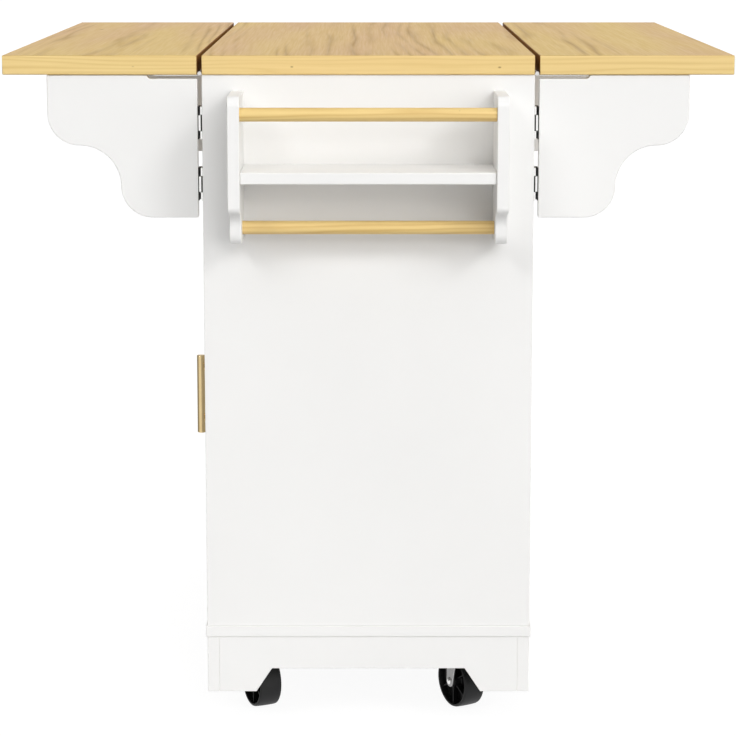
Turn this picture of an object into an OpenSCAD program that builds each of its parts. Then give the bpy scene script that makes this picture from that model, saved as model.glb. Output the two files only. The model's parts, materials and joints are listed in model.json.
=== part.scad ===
// Rolling kitchen serving cart: a white cabinet on four swivel casters, a three-part wooden
// worktop whose two leaves fold, four swing-out brackets that carry them, and a rack on one end.
// X runs across the cart with the doors at -X, Y along it with the rack at -Y, Z is up.

/* [Worktop] */
// Height of the worktop's upper face above the floor
top_z = 930; // [880:1:980]
// Thickness of the three worktop boards
top_t = 26; // [20:1:40]
// Width of the whole worktop with both leaves up, across the cart
top_w = 972; // [940:1:1080]
// Gap between a leaf and the middle board, which the hinge knuckles fill
leaf_gap = 6; // [5.5:0.1:8]
// How far the worktop reaches past each end panel
top_over = 3; // [0:0.5:20]
// Rounding of the worktop's edges
top_round = 2; // [1:0.5:4]

/* [Cabinet] */
// Width of the cabinet, which is also the width of the middle board
cab_w = 443; // [420:1:520]
// Length of the cabinet over its two end panels
cab_len = 894; // [840:1:1000]
// Thickness of the painted boards
board_t = 15; // [12:0.5:20]
// Thickness of the back panel
back_t = 12; // [6:0.5:18]
// How far the back panel sits in from the end panels' edges
back_inset = 2; // [0.5:0.5:6]
// How far the doors, the drawer and the fixed front panels sit in from the end panels' edges
front_inset = 1; // [0.5:0.5:4]
// Clear length of each outer bay, between its end panel and its divider
side_bay_len = 295; // [270:1:330]
// Running gap round the doors and the drawer front
door_gap = 2; // [1.6:0.1:3]
// Height of the openings that the doors close
door_opening_h = 539; // [420:1:556]

/* [Base] */
// Height of the base board's underside above the floor
base_z = 131; // [127:1:160]
// How far the base board reaches past the cabinet on each side
base_over = 2; // [0:0.5:6]
// Height of the plinth's feet above the floor
plinth_z = 52; // [30:1:60]
// Thickness of the two long plinth boards
plinth_t = 16; // [12:0.5:20]
// Height of the arches above the feet
arch_h = 33; // [15:1:45]
// Half width of the arch in an end plinth board, at its foot
arch_half_end = 155; // [120:1:165]
// Half width of the arch in a long plinth board, at its foot
arch_half_long = 350; // [250:1:380]
// How far the arches draw in towards their top
arch_slope = 22; // [10:1:40]

/* [Shelves] */
// Height of the side shelves above the base board
side_shelf_h = 262; // [150:1:330]
// Height of the middle shelf above the base board
mid_shelf_h = 262; // [150:1:330]
// Gap between a shelf and the boards beside it
shelf_gap = 1; // [0.5:0.1:3]
// How far the shelves stop short of the doors
shelf_front_gap = 6; // [2:0.5:40]
// Diameter of the shelf pins
pin_d = 5; // [4:0.1:6]
// How far a pin reaches into its board
pin_in = 7; // [5:0.5:7]
// How far a pin sticks out under its shelf
pin_out = 8; // [5:0.5:12]
// Spacing of the rows of pin holes
pin_pitch = 32; // [25:1:50]
// Distance from the cabinet's middle line to the columns of pin holes
pin_col = 150; // [100:1:180]

/* [Brackets] */
// Reach of a bracket from its hinge edge
bracket_w = 200; // [180:1:230]
// Straight outer edge at a bracket's tip
bracket_tip_h = 52; // [20:1:60]
// Radius of the two rounded corners
bracket_r = 42; // [30:1:46]
// Radius of the hollow between them
bracket_hollow_r = 55; // [40:1:58]
// Length of the notch that clears the leaf hinge
notch_len = 67; // [64:1:80]
// Depth of that notch
notch_h = 5; // [4:0.5:8]
// Gap between a bracket and the leaf that it carries
bracket_clear = 0.3; // [0.2:0.1:1]

/* [Hinges] */
// Clearance between a knuckle and the wood beside it
knuckle_clear = 0.3; // [0.2:0.05:0.5]
// Diameter of the pins in the bracket and leaf hinges
hinge_pin_d = 2.6; // [2:0.1:3]
// Gap between neighbouring knuckles
knuckle_gap = 0.3; // [0.2:0.05:0.5]
// Thickness of the bracket and leaf hinge flaps
flap_t = 1.6; // [1.2:0.1:1.8]
// Height of a bracket hinge
bracket_hinge_h = 44; // [36:1:60]
// Height of the moving knuckle in its middle
mid_knuckle_h = 21; // [14:1:26]
// Height of a bracket's lower hinge above the bracket's underside
bracket_hinge_low = 45; // [30:1:60]
// Height of its upper hinge above the bracket's underside
bracket_hinge_high = 127; // [100:1:150]
// Gap between the end panel's inner face and the bracket hinge's pin
bracket_pin_out = 3.5; // [3:0.1:5]
// Length of a leaf hinge along the cart
leaf_hinge_l = 40; // [30:1:50]
// Reach of a leaf hinge's flap under the leaf
leaf_flap_w = 58; // [40:1:60]
// Reach of its flap under the middle board
fixed_flap_w = 38; // [30:1:50]
// Distance from the cabinet's end to the first leaf hinge
leaf_hinge_in = 2; // [1:0.5:6]
// Height of a leaf hinge's pin above the worktop's underside
leaf_pin_up = 1.5; // [1.2:0.1:2]
// Diameter of the pins that the doors turn on
pivot_d = 5; // [4:0.5:6]
// How far a pivot pin reaches into its door, and into its bush
pivot_l = 10; // [7:0.5:12]
// Outer diameter of the pivot bushes
bush_d = 9; // [8:0.5:10]
// Distance from a door's hinge edge to its pivot
pivot_in = 8.5; // [8:0.5:12]
// Distance from a door's front face to its pivot
pivot_deep = 6; // [5.5:0.25:6.5]
// Gap between a bush's flange and the door
pivot_gap = 0.3; // [0.2:0.05:0.5]

/* [Handles] */
// Diameter of a handle's bar
bar_d = 12; // [8:0.5:16]
// Length of a handle's bar
bar_l = 116; // [96:1:160]
// Distance from the cabinet's edge to the bar's outer face
bar_out = 30.4; // [26:0.1:45]
// Diameter of a handle's posts
post_d = 8; // [6:0.5:10]
// Distance between the posts
post_pitch = 76; // [60:1:96]
// Distance from a door's free edge to its handle
handle_in = 31; // [20:1:60]

/* [Drawer] */
// Thickness of the drawer box's boards
box_t = 12; // [9:0.5:16]
// Thickness of the drawer's bottom
box_bottom_t = 6; // [4:0.5:9]
// Thickness of the glue lines between the drawer box's boards
glue_t = 0.1; // [0.05:0.05:0.2]
// Depth of the drawer box behind its front
box_depth = 355; // [280:1:370]
// Gap under and over the drawer box
box_gap = 14; // [8:1:30]
// Room for a slide on each side of the drawer box
slide_room = 12.7; // [12:0.1:14]
// Height of a slide
slide_h = 45; // [35:1:50]
// Thickness of a slide's steel
slide_t = 1.4; // [1:0.1:1.6]
// Length of a slide
slide_l = 350; // [250:1:355]
// Clearance between the two members of a slide
slide_clear = 0.4; // [0.3:0.05:0.6]

/* [Rack] */
// Reach of the rack from the end panel
rack_depth = 106; // [80:1:130]
// Half width of the rack over its side plates
rack_half = 182.5; // [150:0.5:210]
// Thickness of the side plates
rack_t = 16; // [12:0.5:20]
// Gap between the worktop's underside and the side plates' top
rack_drop = 21; // [5:1:60]
// Height of the side plates
rack_h = 198; // [170:1:240]
// Height of the plates' shallower foot
rack_foot_h = 45; // [38:1:60]
// Reach of that foot from the end panel
rack_foot_depth = 68; // [60:1:75]
// Height of the rack shelf's upper face above the plates' underside
rack_shelf_h = 99.5; // [85:0.5:115]
// Thickness of the rack shelf
rack_shelf_t = 15.6; // [12:0.1:20]
// How far the rack shelf stops behind the plates' front
rack_shelf_back = 4; // [1:0.5:12]
// Diameter of the two rods
rod_d = 18; // [14:0.5:22]
// Distance from the upper rod's middle to the plates' front edge
rod_in = 12; // [11:0.5:16]
// Distance from the end panel to the lower rod's middle
rod_low_out = 38; // [20:0.5:46]
// Distance from the upper rod's middle to the plates' top
rod_high_in = 24; // [15:0.5:40]
// Distance from the lower rod's middle to the plates' underside
rod_low_in = 19.5; // [13:0.5:28]
// Depth of the rods' sockets in the plates
rod_socket = 6; // [4:0.5:8]
// Clearance round a rod in its socket
rod_clear = 0.1; // [0.05:0.05:0.2]

/* [Casters] */
// Diameter of the wheels
wheel_d = 75; // [60:1:80]
// Width of the wheels' tread
wheel_w = 32; // [24:1:34]
// Distance from the swivel axis to the axle
trail = 22; // [16:1:25]
// Distance of the swivel axes from the cabinet's middle line
caster_x = 143; // [130:1:143]
// Distance of the swivel axes from the end panels' outer faces
caster_in = 79; // [78:1:110]
// Diameter of the axle bolts
axle_d = 8; // [6:0.5:10]
// Running clearance on the axle and the swivel pin, on the radius
run_clear = 0.05; // [0.02:0.01:0.09]
// Thickness of the fork's steel
fork_t = 2.5; // [2:0.1:3]
// Height of the mounting blocks under the base board
block_h = 21; // [18:0.5:24]
// Side of the square mounting plates
plate_s = 62; // [60:1:66]
// Direction of each fork's trail, in degrees from +X
trail_deg = [114.2, 120, 205, 310];

/* [Hidden] */

// Roundness of true cylinders
$fn = 64;
// A hair that a cut reaches past a face
eps = 0.5;

// Heights
under_z = top_z - top_t;
floor_z = base_z + board_t;
carcass_h = under_z - floor_z;
deck_z = floor_z + door_opening_h;
drawer_z = deck_z + board_t;

// Places across the cart
half_w = cab_w / 2;
front_x = -half_w + front_inset;
front_back_x = front_x + board_t;
back_x = half_w - back_inset - back_t;
pin_axis_x = half_w + leaf_gap / 2;
leaf_x = half_w + leaf_gap;
bar_x = -half_w - bar_out + bar_d / 2;

// Places along the cart: the origin is in the middle of the whole length, rack included
half_len = cab_len / 2;
y_mid = (rack_depth - top_over) / 2;
mid_bay_len = cab_len - 4 * board_t - 2 * side_bay_len;
divider_in = board_t + side_bay_len;

// Hinges
knuckle_r = leaf_gap / 2 - knuckle_clear;
bracket_pin_in = board_t + bracket_pin_out;
bracket_low_z = under_z - bracket_clear - bracket_tip_h - 2 * bracket_r - bracket_hollow_r;

// Casters
wheel_r = wheel_d / 2;
rim_r = wheel_r - 4;
hub_r = 10;
dish_depth = 11;
rib_t = 2;
plate_t = 2.5;
race_h = 4;
race_d = 46;
swivel_gap = 0.3;
swivel_pin_d = 10;
swivel_head_d = 16;
swivel_head_h = 3;
plate_z = base_z - block_h;
crown_z = plate_z - plate_t - race_h - swivel_gap;
hub_gap = 0.3;
fork_in = wheel_w + 2;
fork_back = 18;
fork_ahead = trail + 4;
fork_shoulder_h = 10;
fork_neck_h = 24;
fork_lean = 6;
bolt_head_h = 2.5;
screw_d = 4;
screw_l = 15;
screw_head_d = 8;
screw_head_h = 2.2;
screw_at = plate_s / 2 - 6;

white = "whitesmoke";
oak = "burlywood";
brass = "darkgoldenrod";
steel = "silver";
black = [0.1, 0.1, 0.1];

// The distance d in from the outer face of one end, -1 near or 1 far, as a place along Y
function y_in(end, d) = y_mid + end * (half_len - d);

// Places children, drawn for the back near corner, at the corner with these signs of X and Y
module at_corner(side, end) {
    translate([0, y_mid, 0])
        mirror([side < 0 ? 1 : 0, 0, 0])
            mirror([0, end > 0 ? 1 : 0, 0])
                translate([0, -half_len, 0])
                    children();
}

// Places children, drawn for the near end, at the end with this sign of Y
module at_end(end) {
    at_corner(1, end) children();
}

// A box from one corner to the opposite one
module span(a, b) {
    translate(a) cube(b - a);
}

// A rectangle with true round corners
module round_rect(w, h, r) {
    translate([r, 0]) square([w - 2 * r, h]);
    translate([0, r]) square([w, h - 2 * r]);
    for (x = [r, w - r], y = [r, h - r])
        translate([x, y]) circle(r);
}

// A board whose edges are all rounded
module soft_board(a, b, r) {
    s = b - a;
    translate(a)
        intersection() {
            linear_extrude(s[2]) round_rect(s[0], s[1], r);
            translate([0, s[1], 0]) rotate([90, 0, 0]) linear_extrude(s[1]) round_rect(s[0], s[2], r);
            rotate([90, 0, 90]) linear_extrude(s[0]) round_rect(s[1], s[2], r);
        }
}

// Worktop

// A mortise for the fixed flap of one leaf hinge, at the back near corner's side
module fixed_flap_room(y0) {
    span([half_w - fixed_flap_w, y0, under_z - eps], [half_w + eps, y0 + leaf_hinge_l, under_z + flap_t]);
}

// Where the leaf hinges start, in from the cabinet's near end
leaf_hinge_starts = [
    leaf_hinge_in,
    half_len - leaf_hinge_l / 2,
    cab_len - leaf_hinge_in - leaf_hinge_l
];

module worktop_middle() {
    color(oak)
        difference() {
            soft_board(
                [-half_w, y_in(-1, -top_over), under_z],
                [half_w, y_in(1, -top_over), top_z],
                top_round
            );
            for (side = [-1, 1], y0 = leaf_hinge_starts)
                at_corner(side, -1) fixed_flap_room(y0);
        }
}

module leaf(side) {
    inner = side * leaf_x;
    outer = side * top_w / 2;
    color(oak)
        soft_board(
            [min(inner, outer), y_in(-1, -top_over), under_z],
            [max(inner, outer), y_in(1, -top_over), top_z],
            top_round
        );
}

// Knuckles: each hinge half has a list of them, with the start and the length of each. A leaf
// hinge shares its length equally, and each half has every second knuckle
leaf_knuckle_n = 5;
leaf_knuckle_l = (leaf_hinge_l - (leaf_knuckle_n - 1) * knuckle_gap) / leaf_knuckle_n;

function leaf_knuckles(first) = [
    for (i = [first:2:leaf_knuckle_n - 1]) [i * (leaf_knuckle_l + knuckle_gap), leaf_knuckle_l]
];

module knuckle_tubes(knuckles, outer_r, bore_d) {
    for (k = knuckles)
        translate([0, 0, k[0]])
            difference() {
                cylinder(h = k[1], r = outer_r);
                translate([0, 0, -eps]) cylinder(h = k[1] + 2 * eps, d = bore_d);
            }
}

// One half of a leaf hinge, with the pin's line as its origin and the flap along +X
module leaf_hinge_half(w, low, high, first) {
    bore = hinge_pin_d + 2 * run_clear;
    clear_x = knuckle_r + knuckle_gap;
    rotate([-90, 0, 0]) knuckle_tubes(leaf_knuckles(first), knuckle_r, bore);
    difference() {
        union() {
            span([clear_x, 0, low], [w, leaf_hinge_l, high]);
            for (k = leaf_knuckles(first))
                span([0, k[0], low], [clear_x + eps, k[0] + k[1], high]);
        }
        rotate([-90, 0, 0])
            translate([0, 0, -eps])
                cylinder(h = leaf_hinge_l + 2 * eps, d = bore);
    }
}

// The fixed half and its pin, at the back near corner
module leaf_hinge_fixed(y0) {
    low = -leaf_pin_up;
    translate([pin_axis_x, y0, under_z + leaf_pin_up]) {
        mirror([1, 0, 0])
            leaf_hinge_half(pin_axis_x - half_w + fixed_flap_w, low, low + flap_t, 0);
        rotate([-90, 0, 0]) cylinder(h = leaf_hinge_l, d = hinge_pin_d);
    }
}

module leaf_hinge_moving(y0) {
    high = -leaf_pin_up;
    translate([pin_axis_x, y0, under_z + leaf_pin_up])
        leaf_hinge_half(leaf_gap / 2 + leaf_flap_w, high - flap_t, high, 1);
}

module leaf_hinge_fixed_flaps() {
    color(steel)
        for (side = [-1, 1], y0 = leaf_hinge_starts)
            at_corner(side, -1) leaf_hinge_fixed(y0);
}

module leaf_hinge_flaps(side) {
    color(steel)
        for (y0 = leaf_hinge_starts)
            at_corner(side, -1) leaf_hinge_moving(y0);
}

// Carcass

// Heights of the pin hole rows above the base board, round the height of a shelf
function pin_rows(shelf_h) = [for (i = [-1:1]) shelf_h - pin_d / 2 + i * pin_pitch];

// Pin holes into a board face at y = 0 that looks along +Y, for a shelf at this height
module pin_holes(shelf_h) {
    for (h = pin_rows(shelf_h), x = [-pin_col, pin_col])
        translate([x, 0, floor_z + h])
            rotate([90, 0, 0])
                translate([0, 0, -eps]) cylinder(h = pin_in + eps, d = pin_d + 2 * run_clear);
}

module end_panel(end) {
    color(white)
        at_end(end)
            difference() {
                span([-half_w, 0, floor_z], [half_w, board_t, under_z]);
                translate([0, board_t, 0]) pin_holes(side_shelf_h);
            }
}

module divider(end) {
    color(white)
        at_end(end)
            difference() {
                span([front_x, divider_in, floor_z], [back_x, divider_in + board_t, under_z]);
                translate([0, divider_in, 0]) mirror([0, 1, 0]) pin_holes(side_shelf_h);
                translate([0, divider_in + board_t, 0]) pin_holes(mid_shelf_h);
            }
}

module back_panel() {
    color(white)
        span([back_x, y_in(-1, board_t), floor_z], [back_x + back_t, y_in(1, board_t), under_z]);
}

module base_board() {
    reach = half_w + base_over;
    color(white)
        difference() {
            span([-reach, y_in(-1, -base_over), base_z], [reach, y_in(1, -base_over), floor_z]);
            for (end = [-1, 1])
                at_end(end) at_pivot() bush_holes();
        }
}

module front_panel(end) {
    color(white)
        at_end(end)
            difference() {
                span([front_x, board_t, deck_z], [front_back_x, divider_in, under_z]);
                at_pivot() bush_holes();
            }
}

module drawer_deck() {
    color(white)
        span([front_x, y_in(-1, divider_in + board_t), deck_z], [back_x, y_in(1, divider_in + board_t), drawer_z]);
}

// Plinth

// The outline of an arch, standing on the feet's line
module arch(half, slope) {
    polygon([[-half, -eps], [half, -eps], [half - slope, arch_h], [-half + slope, arch_h]]);
}

module plinth_long(side) {
    x0 = side < 0 ? -half_w : half_w - plinth_t;
    color(white)
        difference() {
            span([x0, y_in(-1, 0), plinth_z], [x0 + plinth_t, y_in(1, 0), base_z]);
            translate([x0 - eps, y_mid, plinth_z])
                rotate([90, 0, 90])
                    linear_extrude(plinth_t + 2 * eps) arch(arch_half_long, arch_slope);
        }
}

module plinth_end(end) {
    reach = half_w - plinth_t;
    color(white)
        at_end(end)
            difference() {
                span([-reach, 0, plinth_z], [reach, board_t, base_z]);
                translate([0, board_t + eps, plinth_z])
                    rotate([90, 0, 0])
                        linear_extrude(board_t + 2 * eps) arch(arch_half_end, arch_slope);
            }
}

// Shelves

module shelf(y0, y1, h) {
    color(white)
        span(
            [front_back_x + shelf_front_gap, y0 + shelf_gap, floor_z + h],
            [back_x - shelf_gap, y1 - shelf_gap, floor_z + h + board_t]
        );
}

module side_shelf(end) {
    a = y_in(end, board_t);
    b = y_in(end, divider_in);
    shelf(min(a, b), max(a, b), side_shelf_h);
}

module shelf_middle() {
    shelf(y_in(-1, divider_in + board_t), y_in(1, divider_in + board_t), mid_shelf_h);
}

// A pair of pins in a board face at y = 0 that looks along +Y
module pin_pair(shelf_h) {
    for (x = [-pin_col, pin_col])
        translate([x, 0, floor_z + shelf_h - pin_d / 2])
            rotate([90, 0, 0])
                translate([0, 0, -pin_out]) cylinder(h = pin_in + pin_out, d = pin_d);
}

module shelf_pins() {
    color(steel)
        for (end = [-1, 1])
            at_end(end) {
                translate([0, board_t, 0]) pin_pair(side_shelf_h);
                translate([0, divider_in, 0]) mirror([0, 1, 0]) pin_pair(side_shelf_h);
                translate([0, divider_in + board_t, 0]) pin_pair(mid_shelf_h);
            }
}

// Rack

rack_top_r = 14;
rack_step_r = 9;
rack_hollow_r = 22;
rack_low_r = 14;
rack_top_z = under_z - rack_drop;
rack_low_z = rack_top_z - rack_h;
rack_shelf_z = rack_low_z + rack_shelf_h;
rod_high_out = rack_depth - rod_in;
rod_high_z = rack_top_z - rod_high_in;
rod_low_z = rack_low_z + rod_low_in;

// A side plate seen from the side: x is the reach from the end panel, y the height
module rack_outline() {
    step = rack_low_z + rack_foot_h;
    difference() {
        union() {
            square_from([0, rack_low_z + rack_low_r], [rack_foot_depth, rack_top_z - rack_top_r]);
            square_from([0, rack_low_z], [rack_foot_depth - rack_low_r, rack_top_z]);
            square_from([0, step], [rack_depth - rack_top_r, rack_top_z]);
            square_from([0, step + rack_step_r], [rack_depth, rack_top_z - rack_top_r]);
            square_from([0, step - rack_hollow_r], [rack_foot_depth + rack_hollow_r, step + eps]);
            square_from([0, step], [rack_depth - rack_step_r, rack_top_z - rack_top_r]);
            translate([rack_depth - rack_top_r, rack_top_z - rack_top_r]) circle(rack_top_r);
            translate([rack_depth - rack_step_r, step + rack_step_r]) circle(rack_step_r);
            translate([rack_foot_depth - rack_low_r, rack_low_z + rack_low_r]) circle(rack_low_r);
        }
        translate([rack_foot_depth + rack_hollow_r, step - rack_hollow_r]) circle(rack_hollow_r);
    }
}

module square_from(a, b) {
    translate(a) square(b - a);
}

module rack_side(side) {
    color(white)
        at_corner(side, -1)
            difference() {
                translate([rack_half - rack_t, 0, 0])
                    rotate([90, 0, 90])
                        linear_extrude(rack_t)
                            mirror([1, 0]) rack_outline();
                for (rod = [[rod_high_out, rod_high_z], [rod_low_out, rod_low_z]])
                    translate([rack_half - rack_t - eps, -rod[0], rod[1]])
                        rotate([0, 90, 0])
                            cylinder(h = rod_socket + eps, d = rod_d + 2 * rod_clear);
            }
}

module rack_shelf() {
    reach = rack_half - rack_t;
    color(white)
        at_end(-1)
            span(
                [-reach, rack_shelf_back - rack_depth, rack_shelf_z - rack_shelf_t],
                [reach, 0, rack_shelf_z]
            );
}

module rack_rod(out, z) {
    reach = rack_half - rack_t + rod_socket - rod_clear;
    color(oak)
        at_end(-1)
            translate([-reach, -out, z])
                rotate([0, 90, 0]) cylinder(h = 2 * reach, d = rod_d);
}

// Brackets

// The outline, with the hinge edge at x = 0 and the underside at y = 0
module bracket_outline() {
    r = bracket_r;
    hollow = bracket_hollow_r;
    tip_x = bracket_w - r;
    low_x = tip_x - hollow - r;
    mid_h = r + hollow;
    top_h = mid_h + r + bracket_tip_h;
    difference() {
        union() {
            square_from([0, mid_h], [tip_x, top_h]);
            square_from([tip_x - eps, mid_h + r], [bracket_w, top_h]);
            translate([tip_x, mid_h + r]) circle(r);
            square_from([0, 0], [low_x, mid_h + eps]);
            square_from([low_x - eps, r], [tip_x, mid_h + eps]);
            translate([low_x, r]) circle(r);
        }
        translate([tip_x, r]) circle(hollow);
        square_from([-eps, top_h - notch_h], [notch_len - notch_h, top_h + eps]);
        translate([notch_len - notch_h, top_h]) circle(notch_h);
    }
}

module bracket(side, end) {
    color(white)
        at_corner(side, end)
            translate([leaf_x, board_t, bracket_low_z])
                rotate([90, 0, 0])
                    linear_extrude(board_t) bracket_outline();
}

// Half of a bracket hinge, with its pin at the origin, drawn on the cabinet's side of the gap
module bracket_hinge_half(knuckles) {
    bore = hinge_pin_d + 2 * run_clear;
    face = leaf_gap / 2;
    clear_y = knuckle_r + knuckle_gap;
    far_y = bracket_pin_in - 1.5;
    knuckle_tubes(knuckles, knuckle_r, bore);
    difference() {
        union() {
            span([-face, -far_y, 0], [-face + flap_t, -clear_y, bracket_hinge_h]);
            for (k = knuckles)
                span([-face, -clear_y - eps, k[0]], [-face + flap_t, 0, k[0] + k[1]]);
        }
        translate([0, 0, -eps]) cylinder(h = bracket_hinge_h + 2 * eps, d = bore);
    }
}

// A bracket hinge's long middle knuckle moves, and the short ones over and under it are fixed
end_knuckle_h = (bracket_hinge_h - mid_knuckle_h) / 2 - knuckle_gap;
fixed_knuckles = [[0, end_knuckle_h], [bracket_hinge_h - end_knuckle_h, end_knuckle_h]];
moving_knuckles = [[end_knuckle_h + knuckle_gap, mid_knuckle_h]];

// The heights at which a bracket's two hinges start
bracket_hinge_starts = [
    for (h = [bracket_hinge_low, bracket_hinge_high]) bracket_low_z + h - bracket_hinge_h / 2
];

module bracket_hinge_fixed_flaps() {
    color(steel)
        for (side = [-1, 1], end = [-1, 1], z0 = bracket_hinge_starts)
            at_corner(side, end)
                translate([pin_axis_x, bracket_pin_in, z0]) {
                    bracket_hinge_half(fixed_knuckles);
                    cylinder(h = bracket_hinge_h, d = hinge_pin_d);
                }
}

module bracket_flaps(side, end) {
    color(steel)
        for (z0 = bracket_hinge_starts)
            at_corner(side, end)
                translate([pin_axis_x, bracket_pin_in, z0])
                    mirror([1, 0, 0]) bracket_hinge_half(moving_knuckles);
}

// Doors

module door(end) {
    color(white)
        at_end(end)
            difference() {
                span(
                    [front_x, board_t + door_gap, floor_z + door_gap],
                    [front_back_x, divider_in - door_gap, deck_z - door_gap]
                );
                at_pivot()
                    each_bush()
                        cylinder(h = pivot_l + door_gap, d = pivot_d + 2 * run_clear);
            }
}

// A bar on two posts, along Z, with the bar's middle at the origin and the posts along +X
module bar_handle() {
    color(brass) {
        translate([0, 0, -bar_l / 2]) cylinder(h = bar_l, d = bar_d);
        for (s = [-1, 1])
            translate([0, 0, s * post_pitch / 2])
                rotate([0, 90, 0]) cylinder(h = front_x - bar_x, d = post_d);
    }
}

module door_handle(end) {
    at_end(end)
        translate([bar_x, divider_in - door_gap - handle_in, (floor_z + deck_z) / 2])
            bar_handle();
}

// The pivot line of the door at the near end
module at_pivot() {
    translate([front_x + pivot_deep, board_t + door_gap + pivot_in, 0]) children();
}

// One bush in the base board, and one upside down in the fixed panel above the door
module each_bush() {
    translate([0, 0, floor_z]) children();
    translate([0, 0, deck_z]) mirror([0, 0, 1]) children();
}

// A bush that sinks below z = 0, with its flange on top
module bush() {
    flange_t = door_gap - pivot_gap;
    difference() {
        union() {
            translate([0, 0, -pivot_l]) cylinder(h = pivot_l, d = bush_d);
            cylinder(h = flange_t, d = bush_d + 2.5);
        }
        translate([0, 0, -pivot_l - eps])
            cylinder(h = pivot_l + flange_t + 2 * eps, d = pivot_d + 2 * run_clear);
    }
}

module bush_holes() {
    each_bush()
        translate([0, 0, -pivot_l]) cylinder(h = pivot_l + eps, d = bush_d + 2 * run_clear);
}

module door_pivot_bushes() {
    color(steel)
        for (end = [-1, 1])
            at_end(end) at_pivot() each_bush() bush();
}

// The pins, half in the door and half in the bushes
module pivot_pins() {
    each_bush()
        translate([0, 0, -pivot_l + pivot_gap])
            cylinder(h = 2 * pivot_l + door_gap - pivot_gap, d = pivot_d);
}

module door_pivot_pins(end) {
    color(steel) at_end(end) at_pivot() pivot_pins();
}

// Drawer

drawer_half = mid_bay_len / 2 - door_gap;
box_half = mid_bay_len / 2 - slide_room;
box_z = drawer_z + box_gap;
box_top_z = under_z - box_gap;
box_x = front_back_x + box_depth;

module drawer_front() {
    color(white)
        span(
            [front_x, y_mid - drawer_half, drawer_z + door_gap],
            [front_back_x, y_mid + drawer_half, under_z - door_gap]
        );
}

// Two sides, two cross boards between them and a bottom that rests in between
module drawer_box() {
    inner = box_half - box_t;
    cross = inner - glue_t;
    color(oak)
        translate([0, y_mid, 0]) {
            for (s = [0, 1])
                mirror([0, s, 0])
                    span([front_back_x, inner, box_z], [box_x, box_half, box_top_z]);
            for (x = [front_back_x, box_x - box_t])
                span([x, -cross, box_z], [x + box_t, cross, box_top_z]);
            span(
                [front_back_x + box_t + glue_t, -cross, box_z],
                [box_x - box_t - glue_t, cross, box_z + box_bottom_t]
            );
        }
}

module drawer_handle() {
    translate([bar_x, y_mid, (drawer_z + under_z) / 2])
        rotate([90, 0, 0]) bar_handle();
}

slide_z = (box_z + box_top_z - slide_h) / 2;

// A channel along X that is open towards +Y, with its web at y = 0
module channel(l, h, depth) {
    rotate([90, 0, 90])
        linear_extrude(l)
            difference() {
                square([depth, h]);
                translate([slide_t, slide_t]) square([depth, h - 2 * slide_t]);
            }
}

module drawer_slides_fixed() {
    color(steel)
        for (s = [0, 1])
            translate([front_back_x, y_mid, slide_z])
                mirror([0, s, 0])
                    translate([0, -mid_bay_len / 2, 0])
                        channel(slide_l, slide_h, slide_room - slide_t - slide_clear);
}

module drawer_slides_moving() {
    inset = slide_t + slide_clear;
    color(steel)
        for (s = [0, 1])
            translate([front_back_x, y_mid, slide_z + inset])
                mirror([0, s, 0])
                    translate([0, -box_half, 0])
                        mirror([0, 1, 0])
                            channel(slide_l, slide_h - 2 * inset, slide_room - inset);
}

// Casters

// The casters in the order of trail_deg, as the signs of X and Y
caster_signs = [[-1, -1], [1, -1], [-1, 1], [1, 1]];

function caster_at(i) = [caster_signs[i][0] * caster_x, y_in(caster_signs[i][1], caster_in), 0];

module each_caster() {
    for (i = [0:3])
        translate(caster_at(i)) children();
}

module plate_holes(z, h) {
    for (x = [-screw_at, screw_at], y = [-screw_at, screw_at])
        translate([x, y, z]) cylinder(h = h, d = screw_d + 2 * run_clear);
}

module caster_blocks() {
    half = plate_s / 2 + 4;
    color(oak)
        each_caster()
            difference() {
                span([-half, -half, plate_z], [half, half, base_z]);
                plate_holes(plate_z - eps, screw_l + eps);
            }
}

// Plate, ball race, swivel pin and the head that holds the fork up
module caster_plate() {
    half = plate_s / 2;
    pin_h = race_h + 2 * swivel_gap + fork_t;
    difference() {
        span([-half, -half, plate_z - plate_t], [half, half, plate_z]);
        plate_holes(plate_z - plate_t - eps, plate_t + 2 * eps);
    }
    translate([0, 0, plate_z - plate_t - race_h]) cylinder(h = race_h, d = race_d);
    translate([0, 0, plate_z - plate_t - pin_h]) cylinder(h = pin_h, d = swivel_pin_d);
    translate([0, 0, plate_z - plate_t - pin_h - swivel_head_h])
        cylinder(h = swivel_head_h, d = swivel_head_d);
}

module caster_plates() {
    color(steel) each_caster() caster_plate();
}

module caster_screws() {
    head_z = plate_z - plate_t - screw_head_h;
    color(steel)
        each_caster()
            for (x = [-screw_at, screw_at], y = [-screw_at, screw_at])
                translate([x, y, 0]) {
                    translate([0, 0, head_z]) cylinder(h = screw_head_h, d = screw_head_d);
                    translate([0, 0, head_z]) cylinder(h = screw_head_h + screw_l, d = screw_d);
                }
}

// One leg of a fork, seen from the side: x runs along the trail, and the foot is a narrow neck
module leg_outline() {
    tip_r = axle_d / 2 + 4;
    polygon([
        [-fork_back, crown_z], [-fork_back, crown_z - fork_shoulder_h],
        [trail - tip_r - fork_lean, wheel_r + fork_neck_h], [trail - tip_r, wheel_r],
        [trail + tip_r, wheel_r], [fork_ahead + 2, crown_z - fork_shoulder_h], [fork_ahead, crown_z]
    ]);
    translate([trail, wheel_r]) circle(tip_r);
}

module axle_bolt(out) {
    translate([trail, out + bolt_head_h, wheel_r])
        rotate([90, 0, 0]) {
            cylinder(h = 2 * (out + bolt_head_h), d = axle_d);
            cylinder(h = bolt_head_h, d = axle_d + 4);
            translate([0, 0, 2 * out + bolt_head_h]) cylinder(h = bolt_head_h, d = axle_d + 4);
        }
}

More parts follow.
